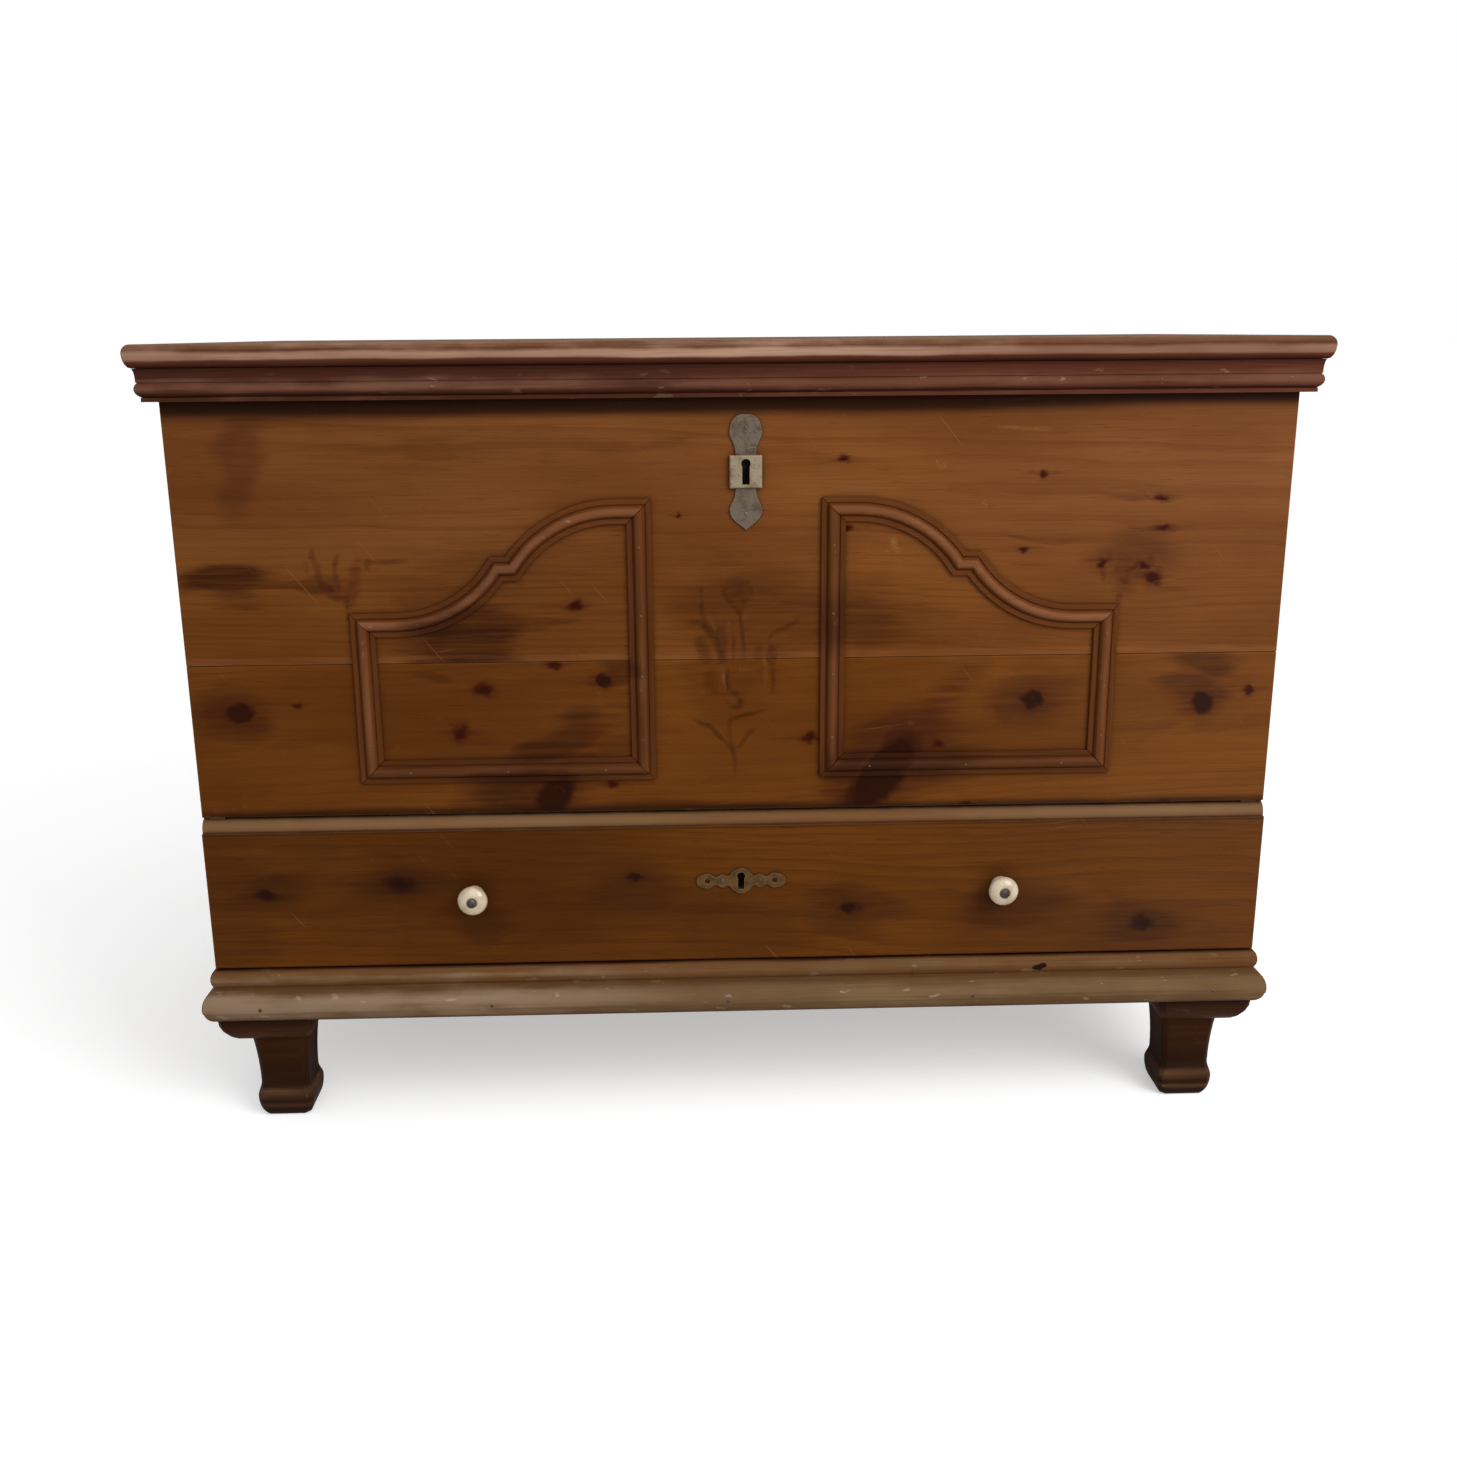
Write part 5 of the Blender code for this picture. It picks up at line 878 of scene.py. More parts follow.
# %% The recipe for a moulding
def worn_moulding(name, stops, axes="XYZ", level="Z", tones=MOULDING_TONES, shift=(0, 0, 0), knots=(),
                  patches=(), shake=0.005, chips=0.5, grime_reach=0.012, dirt_and_shade_share=0.75, painted_shade_left=0.0,
                  painted_sheen_left=0.0):
    """A stained finish. The last two arguments lay painted shade over its left end and a pale painted sheen
    over its bare wood there.
    """
    finish, bench, shader = new_finish(name, specular=MOULDING_SPECULAR)
    place = turned_place(bench, axes)
    parts = bench.apart(rest_place(bench))
    stain, rubbed = stain_bands(bench, shaken_level(bench, place, parts[level], shake), stops)
    nearest, _, bend = lay_knots(bench, place, knots)
    feeds = {"Position": place, "Pith": (0, 0.2, 0), "Ring Width": 0.0035, "Shift": shift, "Bend": bend}
    grain = use_group(bench, "pine_grain", feeds)
    look, bare = rub_through(bench, place, grain, stain, rubbed, tones)
    look = bench.tint(bench.times(grain["Late Wood"], 0.25), look, tones["bare_dark"])
    look = bench.tint(lay_patches(bench, place, patches), look, FRONT_TONES["patch"])
    look = bench.tint(bench.span(nearest, 1.05, 0.7), look, FRONT_TONES["core"])
    chip = bench.times(bench.span(bench.cloud(place, (50, 120, 120), detail=3), 0.66, 0.71), rubbed)
    look = bench.tint(bench.times(chip, chips), look, tones["chip"])
    marks = use_group(bench, "scratches", {"Position": place})
    # Grime and painted shade darken the hollows.
    dirt = use_group(bench, "grime", {"Position": place, "Reach": grime_reach})["Grime And Shade"]
    look = bench.tint(bench.times(dirt, dirt_and_shade_share), look, tones["old_dirt"])
    # Painted shade over the left end, less where wood is bare.
    left_shade = bench.span(parts["X"], 0.25, -0.15, 0.0, painted_shade_left)
    left_shade = bench.times(left_shade, bench.span(bare, 0.0, 0.8, 1.0, 0.4))
    look = bench.tint(left_shade, look, tones["old_dirt"])
    # Painted sheen: bare wood at the left end turns paler and greyer.
    left_sheen = bench.times(bench.span(parts["X"], 0.0, -0.30, 0.0, painted_sheen_left), bare)
    look = bench.tint(left_sheen, look, tones["chip"])
    rough = bench.scaled(bare, 0.12, MOULDING_ROUGH)
    raised = bench.scaled(chip, -1.2, bench.times(grain["Fibre"], 0.6))
    raised = bench.scaled(marks["Dent"], -1.0, raised)
    coat(bench, shader, look, rough, raised, 0.5, MOULDING_BUMP)
    return finish


print("recipe worn_moulding ready")

# %% Rim and plinth
# The darkest stain, also used as painted shade in quirks and under rolls.
DARK_STAIN_AND_SHADE = colour(46, 19, 12)
STAIN_DEEP = colour(66, 31, 19)
STAIN_RED = colour(82, 42, 28)
STAIN_BROWN = colour(96, 64, 40)
CASE_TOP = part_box("front_board_upper")[1].z
PLINTH_LOW, PLINTH_HIGH = (corner.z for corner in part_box("plinth_front"))
RIM_TONES = MOULDING_TONES | tones_of(bare=(118, 80, 62), bare_dark=(92, 54, 38))
# The dark stop 5.2 mm up, in the quirk between the fillet and the bead, is painted shade.
RIM_STOPS = stops_above(RIM_LOW, [
    (0, STAIN_RED, 0.32), (36, STAIN_RED, 0.32), (52, DARK_STAIN_AND_SHADE, 0.05), (78, STAIN_RED, 0.30),
    (118, STAIN_RED, 0.66), (160, STAIN_RED, 0.60), (200, STAIN_RED, 0.42), (240, STAIN_RED, 0.16),
]) + [(CASE_TOP, STAIN_DEEP, 0.0)]
PLINTH_BROWN = colour(90, 64, 38)
PLINTH_HOLLOW = colour(88, 59, 31)
PLINTH_WARM = colour(100, 65, 34)
# Its chip tone also gives the pale painted sheen on the left end.
PLINTH_TONES = MOULDING_TONES | tones_of(bare=(122, 98, 70), bare_dark=(94, 69, 43), chip=(172, 150, 132))
# The dark stop at the very top is painted shadow under the drawer.
PLINTH_STOPS = stops_above(PLINTH_LOW, [
    (0, DARK_STAIN_AND_SHADE, 0.10), (50, PLINTH_BROWN, 0.35), (150, PLINTH_BROWN, 0.60), (240, PLINTH_BROWN, 0.85),
    (315, PLINTH_BROWN, 0.50), (365, PLINTH_HOLLOW, 0.20), (415, PLINTH_WARM, 0.26),
    (490, PLINTH_WARM, 0.46),
]) + [(PLINTH_HIGH - 0.0030, PLINTH_WARM, 0.18), (PLINTH_HIGH, DARK_STAIN_AND_SHADE, 0.05)]
PLINTH_KNOT = (0.3205, 0.1748, 0.009, 0.005, 0)
for axes, sides in (("XYZ", ("front",)), ("YXZ", ("left", "right"))):
    # The rim's left end gets painted shade.
    rim = worn_moulding("rim_stain_" + sides[0], RIM_STOPS, axes, tones=RIM_TONES, shift=(4.2, 0.3, 1.7),
                        dirt_and_shade_share=0.35, painted_shade_left=0.45)
    dress(rim, *("lid_rim_" + side for side in sides))
    # The plinth's left end gets a pale painted sheen.
    plinth = worn_moulding("plinth_stain_" + sides[0], PLINTH_STOPS, axes, tones=PLINTH_TONES,
                           shift=(9.9, 2.3, 0.2), knots=[PLINTH_KNOT] if axes == "XYZ" else (),
                           dirt_and_shade_share=0.55, painted_sheen_left=0.27 if axes == "XYZ" else 0.0)
    dress(plinth, *("plinth_" + side for side in sides))
    if axes == "XYZ":
        dress(plinth, "plinth_back")
print("rim and plinth stained")

# %% [markdown]
# ## The lid
# On top the lid is waxed pine. Its rolled front edge is the most handled place of the whole chest, so the
# stain there is rubbed through to rosy wood, the lowest band of the roll is painted dark as the shade
# where it turns under, and the underside is bare. Three finishes would need three sets of faces. One
# finish does it all: bands by height within a finger's width of the edge, laid over the same recipe as
# the other boards.

# %% Lid boards
LID_LOW, LID_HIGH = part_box("lid_board_front")
LID_TONES = FRONT_TONES | tones_of(early=(116, 70, 38), deep=(88, 49, 26), late=(74, 37, 18),
                                   worn=(142, 106, 86))
NOSE_TONES = MOULDING_TONES | tones_of(bare=(168, 133, 111), bare_dark=(116, 80, 62))
# The lowest bands, where the roll turns under, are painted dark as its shade.
NOSE_STOPS = stops_above(LID_LOW.z, [
    (0, DARK_STAIN_AND_SHADE, 0.0), (52, STAIN_RED, 0.10), (78, STAIN_BROWN, 0.80), (108, STAIN_BROWN, 1.0),
    (132, STAIN_BROWN, 0.65), (156, STAIN_RED, 0.30), (185, STAIN_BROWN, 0.35),
]) + [(LID_HIGH.z, STAIN_BROWN, 0.45)]
NOSE_SHAKE = 0.005
LID_KNOTS = 9
ROLL_DEPTH = 0.012


def rolled_edge(bench, place, grain, wood):
    parts = bench.apart(rest_place(bench))
    outward = bench.math("ABSOLUTE", parts["X"])
    on_ends = bench.span(outward, LID_HIGH.x - ROLL_DEPTH, LID_HIGH.x - ROLL_DEPTH / 2)
    on_front = bench.span(parts["Y"], LID_LOW.y + ROLL_DEPTH, LID_LOW.y + ROLL_DEPTH / 2)
    stain, rubbed = stain_bands(bench, shaken_level(bench, place, parts["Z"], NOSE_SHAKE), NOSE_STOPS)
    look, _ = rub_through(bench, place, grain, stain, rubbed, NOSE_TONES)
    under = bench.span(parts["Z"], LID_LOW.z + 0.0012, LID_LOW.z + 0.0004)
    wood = left_bare(bench, grain, wood, under)
    return bench.tint(bench.most(on_ends, on_front), wood, look)


for seed, board in ((71, "lid_board_front"), (83, "lid_board_back")):
    low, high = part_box(board)
    lid_knots = scattered_knots(seed, LID_KNOTS, (low.x + 0.04, high.x - 0.04),
                                (low.y + 0.03, high.y - 0.03))
    lid_pine = pine_board(board + "_pine", LID_TONES, axes="XZY", pith=(0, 0.70, (low.y + high.y) / 2),
                          lean=0.03, ring=0.0048, shift=(seed, 0.5, 0.8), knots=lid_knots,
                          patches=halo_patches(lid_knots), over=rolled_edge)
    dress(lid_pine, board)
print("knots on each lid board:", LID_KNOTS)

# %% [markdown]
# ## Feet and frames
# The feet are the darkest part, and the pad is scuffed in pale lines. The frames are thin planted
# mouldings. Their ridge is worn pinkish brown, lighter still on the arches as a painted highlight where
# light from above falls, and darker on the rails and stiles as painted shade. The lips beside it have
# nearly the colour of the board, with painted shade in the quirks, and the dark stain patches of the
# board run on over them. Both could be painted roll by roll, but the recipe for a moulding does it with
# bands of their own.

# %% Feet
FOOT_STOPS = stops_above(0.0, [
    (height, colour(*shade), rubbed) for height, shade, rubbed in (
        (0, (58, 34, 19), 0.30), (70, (34, 18, 8), 0.05), (140, (62, 38, 22), 0.40),
        (190, (36, 19, 9), 0.05), (300, (70, 44, 27), 0.50), (360, (34, 18, 8), 0.05),
        (450, (36, 17, 5), 0.0), (800, (50, 24, 7), 0.05), (1100, (60, 30, 10), 0.12))
]) + [(PLINTH_LOW, colour(36, 17, 7), 0.05)]
FOOT_TONES = MOULDING_TONES | tones_of(bare=(98, 70, 46), bare_dark=(68, 42, 24), old_dirt=(22, 11, 5))
foot_stain = worn_moulding("foot_stain", FOOT_STOPS, tones=FOOT_TONES, shift=(2.5, 7.7, 3.1), shake=0.004)
dress(foot_stain, "foot_front_left", "foot_front_right", "foot_back_left", "foot_back_right")
print("feet stained")

# %% Frames
STRIP_PROUD = FACE_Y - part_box("frame_stile_inner_left")[0].y
RIDGE_Y = FACE_Y - STRIP_PROUD
FRAME_TONES = MOULDING_TONES | tones_of(bare=(126, 82, 55), bare_dark=(106, 64, 36), old_dirt=(58, 27, 12))
# Each kind: its axes, the share of stain rubbed off its ridge and how bright its stain stays. The arches
# are paler by wear and by painted highlight; the rails and stiles are darker by less wear and by painted
# shade.
FRAME_KINDS = {"arch": ("XYZ", 0.80, 1.0), "rail": ("XYZ", 0.05, 0.64), "stile_inner": ("ZYX", 0.35, 0.77),
               "stile_outer": ("ZYX", 0.40, 0.88)}


# A tone dimmed to a share of its brightness, as painted shade.
def in_painted_shade(tone, share):
    return (*(value * share for value in tone[:3]), 1.0)


for kind, (axes, rubbed, share) in FRAME_KINDS.items():
    # The low stops, in the quirks and on the lips by the board, are darker as painted shade.
    frame_stops = stops_above(RIDGE_Y, [
        (0, in_painted_shade(colour(100, 58, 28), share), rubbed),
        (10, in_painted_shade(colour(100, 57, 26), share), rubbed * 0.7),
        (22, in_painted_shade(colour(94, 52, 21), share), 0.05),
        (46, in_painted_shade(colour(92, 50, 19), share), 0.0),
        (58, colour(84, 44, 18), 0.0),
    ]) + [(FACE_Y, colour(80, 41, 16), 0.0)]
    flipped = [(z, x, high, long, -turn, strength) if axes == "ZYX" else (x, z, long, high, turn, strength)
               for x, z, long, high, turn, strength in UPPER_PATCHES + LOWER_PATCHES]
    frame_stain = worn_moulding("frame_stain_" + kind, frame_stops, axes, level="Y", tones=FRAME_TONES,
                                shift=(5.5, 1.1, 6.4), shake=0.0014, patches=flipped, chips=0.3,
                                grime_reach=0.006, dirt_and_shade_share=0.28)
    dress(frame_stain, f"frame_{kind}_left", f"frame_{kind}_right")
print("frames stand off the board by", round(STRIP_PROUD * 1000, 1), "mm")

# %% [markdown]
# ## Iron, brass and porcelain
# Old metal is never one colour. The lock plate is grey sheet iron with brown bloom and bright rubbed
# edges, the hinges are darker forged iron, and the drawer's keyhole plate is dull brass under years of
# wax. One recipe mixes clean metal, bloom and dirt by noise, darkens the hollows with dirt and painted
# shade, and only the tones change. The knobs are ivory porcelain: a clear glaze over a warm body, with
# fine crackle, and with dirt and painted shade where the screw and the neck meet.

# %% Metal finishes
METAL_EDGE = 0.0012
METAL_BUMP = 0.0005


def old_metal(name, clean, bloom, dirt, bright, metallic, gloss, size):
    """Size is the scale of the bloom; bright is the metal where edges are rubbed."""
    clean, bloom, dirt, bright = (colour(*shade) for shade in (clean, bloom, dirt, bright))
    finish, bench, shader = new_finish(name, metallic=metallic, specular=0.25)
    place = rest_place(bench)
    clouds = bench.cloud(place, (size, size, size), detail=5, rough=0.62)
    pits = bench.span(bench.cloud(place, (size * 6,) * 3, detail=2), 0.60, 0.70)
    look = bench.tint(bench.span(clouds, 0.42, 0.66), clean, bloom)
    look = bench.tint(bench.times(pits, 0.6), look, dirt)
    feeds = {"Position": place, "Radius": METAL_EDGE, "Patch Size": size * 2}
    wear = use_group(bench, "edge_wear", feeds)["Wear"]
    look = bench.tint(bench.times(wear, 0.8), look, bright)
    # Dirt and painted shade darken the hollows.
    grime = use_group(bench, "grime", {"Position": place, "Reach": 0.004})["Grime And Shade"]
    look = bench.tint(bench.times(grime, 0.7), look, dirt)
    marks = use_group(bench, "scratches", {"Position": bench.vector("MULTIPLY", place, (3, 3, 3))})
    look = bench.tint(bench.times(marks["Scratch"], 0.5), look, bright)
    rough = bench.scaled(wear, -0.12, bench.span(clouds, 0.35, 0.70, gloss - 0.08, gloss + 0.14))
    coat(bench, shader, look, rough, bench.scaled(pits, -0.8, clouds), 0.35, METAL_BUMP)
    return finish


plate_iron = old_metal("lock_plate_iron", (98, 88, 74), (78, 60, 47), (40, 30, 23), (158, 146, 124),
                       metallic=0.35, gloss=0.50, size=90)
square_iron = old_metal("lock_square_iron", (142, 128, 104), (118, 99, 79), (64, 50, 36), (186, 170, 140),
                        metallic=0.35, gloss=0.46, size=90)
forged_iron = old_metal("forged_iron", (74, 69, 64), (62, 48, 40), (30, 24, 20), (128, 122, 114),
                        metallic=0.7, gloss=0.50, size=60)
old_brass = old_metal("old_brass_dull", (90, 62, 27), (68, 44, 18), (34, 22, 10), (150, 132, 98),
                      metallic=0.35, gloss=0.50, size=140)
dress(plate_iron, "lid_lock_plate")
dress(square_iron, "lid_lock_square")
dress(old_brass, "drawer_lock_plate")
FORGED = ["lid_lock_case", "lid_lock_bolt", "lid_lock_staple", "drawer_lock_case", "drawer_lock_bolt"]
for side in ("left", "right"):
    for kind in ("hinge_leaf", "hinge_pin", "hinge_strap", "knob_bolt", "knob_nut"):
        FORGED.append(f"{kind}_{side}")
dress(forged_iron, *FORGED)
print("two plates, one square and", len(FORGED), "forged pieces finished")

# %% Porcelain
CRACKLE_DEPTH = 0.0002


def glazed_porcelain():
    finish, bench, shader = new_finish("ivory_porcelain", specular=0.5)
    place = rest_place(bench)
    warm = bench.cloud(place, (70, 70, 70), detail=4)
    look = bench.tint(bench.span(warm, 0.35, 0.70), colour(196, 180, 156), colour(174, 154, 126))
    feeds = {"Vector": place, "Scale": 260.0}
    crack = bench.put("TexVoronoi", feeds, feature="DISTANCE_TO_EDGE").outputs["Distance"]
    crackle = bench.times(bench.span(crack, 0.035, 0.0), bench.span(warm, 0.45, 0.65))
    look = bench.tint(bench.times(crackle, 0.45), look, colour(140, 112, 82))
    # Dirt and painted shade where the screw and the neck meet.
    grime = use_group(bench, "grime", {"Position": place, "Reach": 0.006})["Grime And Shade"]
    look = bench.tint(grime, look, colour(88, 62, 40))
    shader.inputs["Coat Weight"].default_value = 0.3
    shader.inputs["Coat Roughness"].default_value = 0.06
    rough = bench.span(warm, 0.3, 0.7, 0.12, 0.24)
    coat(bench, shader, look, rough, bench.times(crackle, -1.0), 0.15, CRACKLE_DEPTH)
    return finish


ivory = glazed_porcelain()
print("porcelain ready")

# %% [markdown]
# ## Soft edges
# A planed edge is never razor sharp, and a bare solid shows it at once. The solids arrive as loose
# triangles, so a geometry-node modifier first welds them and marks which edges stay crisp. Decimate then
# joins the flat triangles, Bevel rounds the edges by about half a millimetre, and Weighted Normal keeps
# the flats flat.

# %% Weld the triangles
WELD = 0.00002
CRISP_ANGLE = radians(35)


def weld_group():
    group = bpy.data.node_groups.new("weld_and_smooth", "GeometryNodeTree")
    group.interface.new_socket("Geometry", in_out="INPUT", socket_type="NodeSocketGeometry")
    group.interface.new_socket("Geometry", in_out="OUTPUT", socket_type="NodeSocketGeometry")
    put = group.nodes.new
    start = put("NodeGroupInput")
    strip = put("GeometryNodeRemoveAttribute")
    strip.inputs["Name"].default_value = "custom_normal"
    weld = put("GeometryNodeMergeByDistance")
    weld.inputs["Distance"].default_value = WELD
    smooth = put("GeometryNodeSetShadeSmooth")
    angle = put("GeometryNodeInputMeshEdgeAngle")
    compare = put("FunctionNodeCompare")
    compare.inputs["B"].default_value = CRISP_ANGLE
    crisp = put("GeometryNodeSetShadeSmooth")
    crisp.domain = "EDGE"
    crisp.inputs["Shade Smooth"].default_value = False
    end = put("NodeGroupOutput")
    for before, after in ((start, strip), (strip, weld), (weld, smooth), (smooth, crisp), (crisp, end)):
        group.links.new(before.outputs["Geometry"], after.inputs["Geometry"])
    group.links.new(angle.outputs["Unsigned Angle"], compare.inputs["A"])
    group.links.new(compare.outputs["Result"], crisp.inputs["Selection"])
    return group


WELD_GROUP = weld_group()
print("weld group with", len(WELD_GROUP.nodes), "nodes")

# %% Round every solid
EDGE_WIDTHS = {"drawer_front": 0.0010, "lid_board": 0.0009, "lid_rim": 0.0006, "plinth": 0.0008,
               "foot": 0.0010, "frame": 0.0004, "lid_lock": 0.00035, "drawer_lock": 0.00035,
               "hinge": 0.0005, "knob_bolt": 0.0003, "knob_nut": 0.0004}
BOARD_EDGE = 0.0007
FLAT_ANGLE = radians(0.4)


def soften(name, node):
    width = next((width for start, width in EDGE_WIDTHS.items() if name.startswith(start)), BOARD_EDGE)
    node.modifiers.new("weld_and_smooth", "NODES").node_group = WELD_GROUP
    joined = node.modifiers.new("join_flats", "DECIMATE")
    joined.decimate_type = "DISSOLVE"
    joined.angle_limit = FLAT_ANGLE
    rounding = node.modifiers.new("round_edges", "BEVEL")
    rounding.width = width
    rounding.segments = 2
    rounding.limit_method = "ANGLE"
    rounding.angle_limit = CRISP_ANGLE
    node.modifiers.new("flat_faces", "WEIGHTED_NORMAL").keep_sharp = True


for name, node in NODES.items():
    soften(name, node)
print("edges rounded on", len(NODES), "solids")

# %% [markdown]
# ## New pieces
# A new piece is a mesh built with bmesh, linked to the scene, given a finish and told which body carries
# it. One helper does these steps in the same order for every piece, so none of them can be forgotten.

# %% Helper for new pieces
def new_piece(name, shape, finish, body):
    mesh = bpy.data.meshes.new(name)
    shape.to_mesh(mesh)
    shape.free()
    mesh.materials.append(finish)
    mesh.polygons.foreach_set("use_smooth", [True] * len(mesh.polygons))
    piece = bpy.data.objects.new(name, mesh)
    bpy.context.scene.collection.objects.link(piece)
    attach(piece, body)
    return piece


def ring_of(shape, middle, turn, radius, rise, steps, wobble=0.0, phase=0.0):
    """One ring of points round an axis; turn points the axis, wobble puts it out of round."""
    ring = []
    for step in range(steps):
        angle = 2 * pi * step / steps
        reach = radius * (1 + wobble * sin(3 * angle + phase) + wobble * 0.6 * sin(2 * angle - phase))
        ring.append(shape.verts.new(middle + turn @ Vector((reach * cos(angle), reach * sin(angle), rise))))
    return ring


def skin_rings(shape, rings, closed=False):
    pairs = list(zip(rings, rings[1:] + rings[:1] if closed else rings[1:]))
    for lower, upper in pairs:
        for step in range(len(lower)):
            after = (step + 1) % len(lower)
            shape.faces.new((lower[step], lower[after], upper[after], upper[step]))


print("helpers for pieces ready")

# %% [markdown]
# ## Porcelain knobs
# Each knob was thrown and glazed, with a flared foot, a slim neck and a round head that is dished for the
# screw. A turned piece is one outline swung round an axis, so a short list of radius and height is
# enough, and a curve through the points makes it smooth. It stands in for the plainer solid of the same
# size.

# %% Turn the knobs
KNOB_OUTLINE = in_metres([
    (25, 240), (44, 243), (54, 252), (66, 255), (90, 250), (120, 234), (144, 212), (154, 186),
    (149, 158), (126, 128), (98, 103), (81, 82), (78, 60), (85, 42), (97, 30), (98, 12), (94, 2),
    (25, 2),
])
KNOB_STEPS = 64
CURVE_STEPS = 4


def curve_through(points, steps):
    """Points on a smooth curve that passes through every given point."""
    padded = [points[0]] + list(points) + [points[-1]]
    smooth = []
    for before, start, end, after in zip(padded, padded[1:], padded[2:], padded[3:]):
        for step in range(steps):
            t = step / steps
            weights = (-t + 2 * t**2 - t**3, 2 - 5 * t**2 + 3 * t**3, t + 4 * t**2 - 3 * t**3, t**3 - t**2)
            corners = zip(before, start, end, after)
            smooth.append(tuple(sum(w * c for w, c in zip(weights, corner)) / 2 for corner in corners))
    return smooth + [tuple(points[-1])]


for side in ("left", "right"):
    low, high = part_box("knob_" + side)
    middle = Vector(((low.x + high.x) / 2, high.y, (low.z + high.z) / 2))
    outward = Vector((0, -1, 0)).to_track_quat("Z", "Y").to_matrix()
    shape = bmesh.new()
    outline = curve_through(KNOB_OUTLINE, CURVE_STEPS)
    rings = [ring_of(shape, middle, outward, radius, rise, KNOB_STEPS) for radius, rise in outline]
    skin_rings(shape, rings, closed=True)
    bmesh.ops.recalc_face_normals(shape, faces=shape.faces)
    knob = new_piece("porcelain_knob_" + side, shape, ivory, "drawer")
    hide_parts("knob_" + side)
print("knobs turned with", len(outline), "rings each")

# %% [markdown]
# ## Nails and pins
# The frames, the plinth and the back are nailed, the plates are pinned and the hinges are screwed. A
# hand-made head is a low dome, a little out of round. Each head could be an object, but heads that go
# into one body for one purpose share a mesh, which keeps the list of pieces short. How deep they sit
# comes from the boxes of the pieces that they hold, so they lie on the surface and not in the air.

# %% Heads of nails and pins
HEAD_DOME = ((1.0, -0.35), (1.0, 0.25), (0.88, 0.62), (0.58, 0.90), (0.24, 1.0))
HEAD_STEPS = 14
HEAD_WOBBLE = 0.05


def nail_heads(name, body, finish, groups, seed):
    """Groups are (outward direction, (radius, rise) of a head, places)."""
    chance = random.Random(seed)
    shape = bmesh.new()
    count = 0
    for outward, (radius, rise), places in groups:
        turn = Vector(outward).to_track_quat("Z", "Y").to_matrix()
        for place in places:
            size = radius * chance.uniform(0.88, 1.08)
            phase = chance.uniform(0, 2 * pi)
            rings = []
            for out, up in HEAD_DOME:
                rings.append(ring_of(shape, Vector(place), turn, size * out, rise * up, HEAD_STEPS,
                                     HEAD_WOBBLE, phase))
            skin_rings(shape, rings)
            shape.faces.new(rings[-1])
            shape.faces.new(list(reversed(rings[0])))
            count += 1
    new_piece(name, shape, finish, body)
    return count


FRONT, BACK, LEFT, RIGHT, DOWN = (0, -1, 0), (0, 1, 0), (-1, 0, 0), (1, 0, 0), (0, 0, -1)
print("rings in a nail head:", len(HEAD_DOME))

# %% Nails and pins of the case
SUNK = 0.0002
FRAME_PIN, PLINTH_NAIL, BACK_NAIL = (0.0011, 0.0004), (0.0020, 0.0006), (0.0034, 0.0012)
INNER_STILE_X, OUTER_STILE_X, RAIL_Z = 0.0960, 0.3722, 0.401
INNER_PIN_Z = (0.432, 0.498, 0.560, 0.628)
OUTER_PIN_Z = (0.430, 0.482, 0.536)
RAIL_PIN_X = (0.135, 0.234, 0.333)
PLINTH_NAIL_X = (-0.505, -0.262, -0.012, 0.249, 0.508)
PLINTH_NAIL_Y = (-0.20, 0.01, 0.22)
PLINTH_NAIL_Z = PLINTH_LOW + 0.0170
BACK_NAIL_COUNT, BACK_NAIL_REACH, BACK_NAIL_STRAY = 8, 0.45, 0.001


def spread(start, end, count):
    return [start + (end - start) * index / (count - 1) for index in range(count)]


frame_pins = []
for side in (-1, 1):
    frame_pins += [(side * INNER_STILE_X, RIDGE_Y + SUNK, z) for z in INNER_PIN_Z]
    frame_pins += [(side * OUTER_STILE_X, RIDGE_Y + SUNK, z) for z in OUTER_PIN_Z]
    frame_pins += [(side * x, RIDGE_Y + SUNK, RAIL_Z) for x in RAIL_PIN_X]
plinth_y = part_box("plinth_front")[0].y + SUNK
plinth_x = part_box("plinth_right")[1].x - SUNK
plinth_nails = [(x, plinth_y, PLINTH_NAIL_Z) for x in PLINTH_NAIL_X]
left_nails = [(-plinth_x, y, PLINTH_NAIL_Z) for y in PLINTH_NAIL_Y]
right_nails = [(plinth_x, y, PLINTH_NAIL_Z) for y in PLINTH_NAIL_Y]
back_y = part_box("back_board_upper")[1].y
floor_low, floor_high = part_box("chest_floor_back")
floor_z = (floor_low.z + floor_high.z) / 2
back_nails = [(x, back_y, floor_z + BACK_NAIL_STRAY * (index % 3))
              for index, x in enumerate(spread(-BACK_NAIL_REACH, BACK_NAIL_REACH, BACK_NAIL_COUNT))]
case_count = nail_heads("case_nails", "case", forged_iron, [
    (FRONT, FRAME_PIN, frame_pins), (FRONT, PLINTH_NAIL, plinth_nails), (LEFT, PLINTH_NAIL, left_nails),
    (RIGHT, PLINTH_NAIL, right_nails), (BACK, BACK_NAIL, back_nails)], seed=5)
print("nails and pins in the case:", case_count)

# %% Screws and pins of the hinges and plates
LEAF_SCREW, PLATE_PIN = (0.0038, 0.0014), (0.0017, 0.0008)
STRAP_SCREW, BRASS_PIN = (0.0034, 0.0013), (0.0026, 0.0009)
HINGE_X = 0.370
LEAF_HOLES = ((-0.020, 0.768), (0.020, 0.768), (-0.020, 0.692), (0.020, 0.692), (0.0, 0.730))
STRAP_HOLES = (0.250, 0.160, 0.070, -0.0125)
HINGE_THICK = 0.003
PLATE_PIN_TOP, PLATE_PIN_FOOT, BRASS_PIN_X = 0.0125, 0.0160, 0.0195
leaf_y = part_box("hinge_leaf_left")[0].y + HINGE_THICK
leaf_screws = [(side * HINGE_X + x, leaf_y, z) for side in (-1, 1) for x, z in LEAF_HOLES]
strap_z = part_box("hinge_strap_left")[1].z - HINGE_THICK
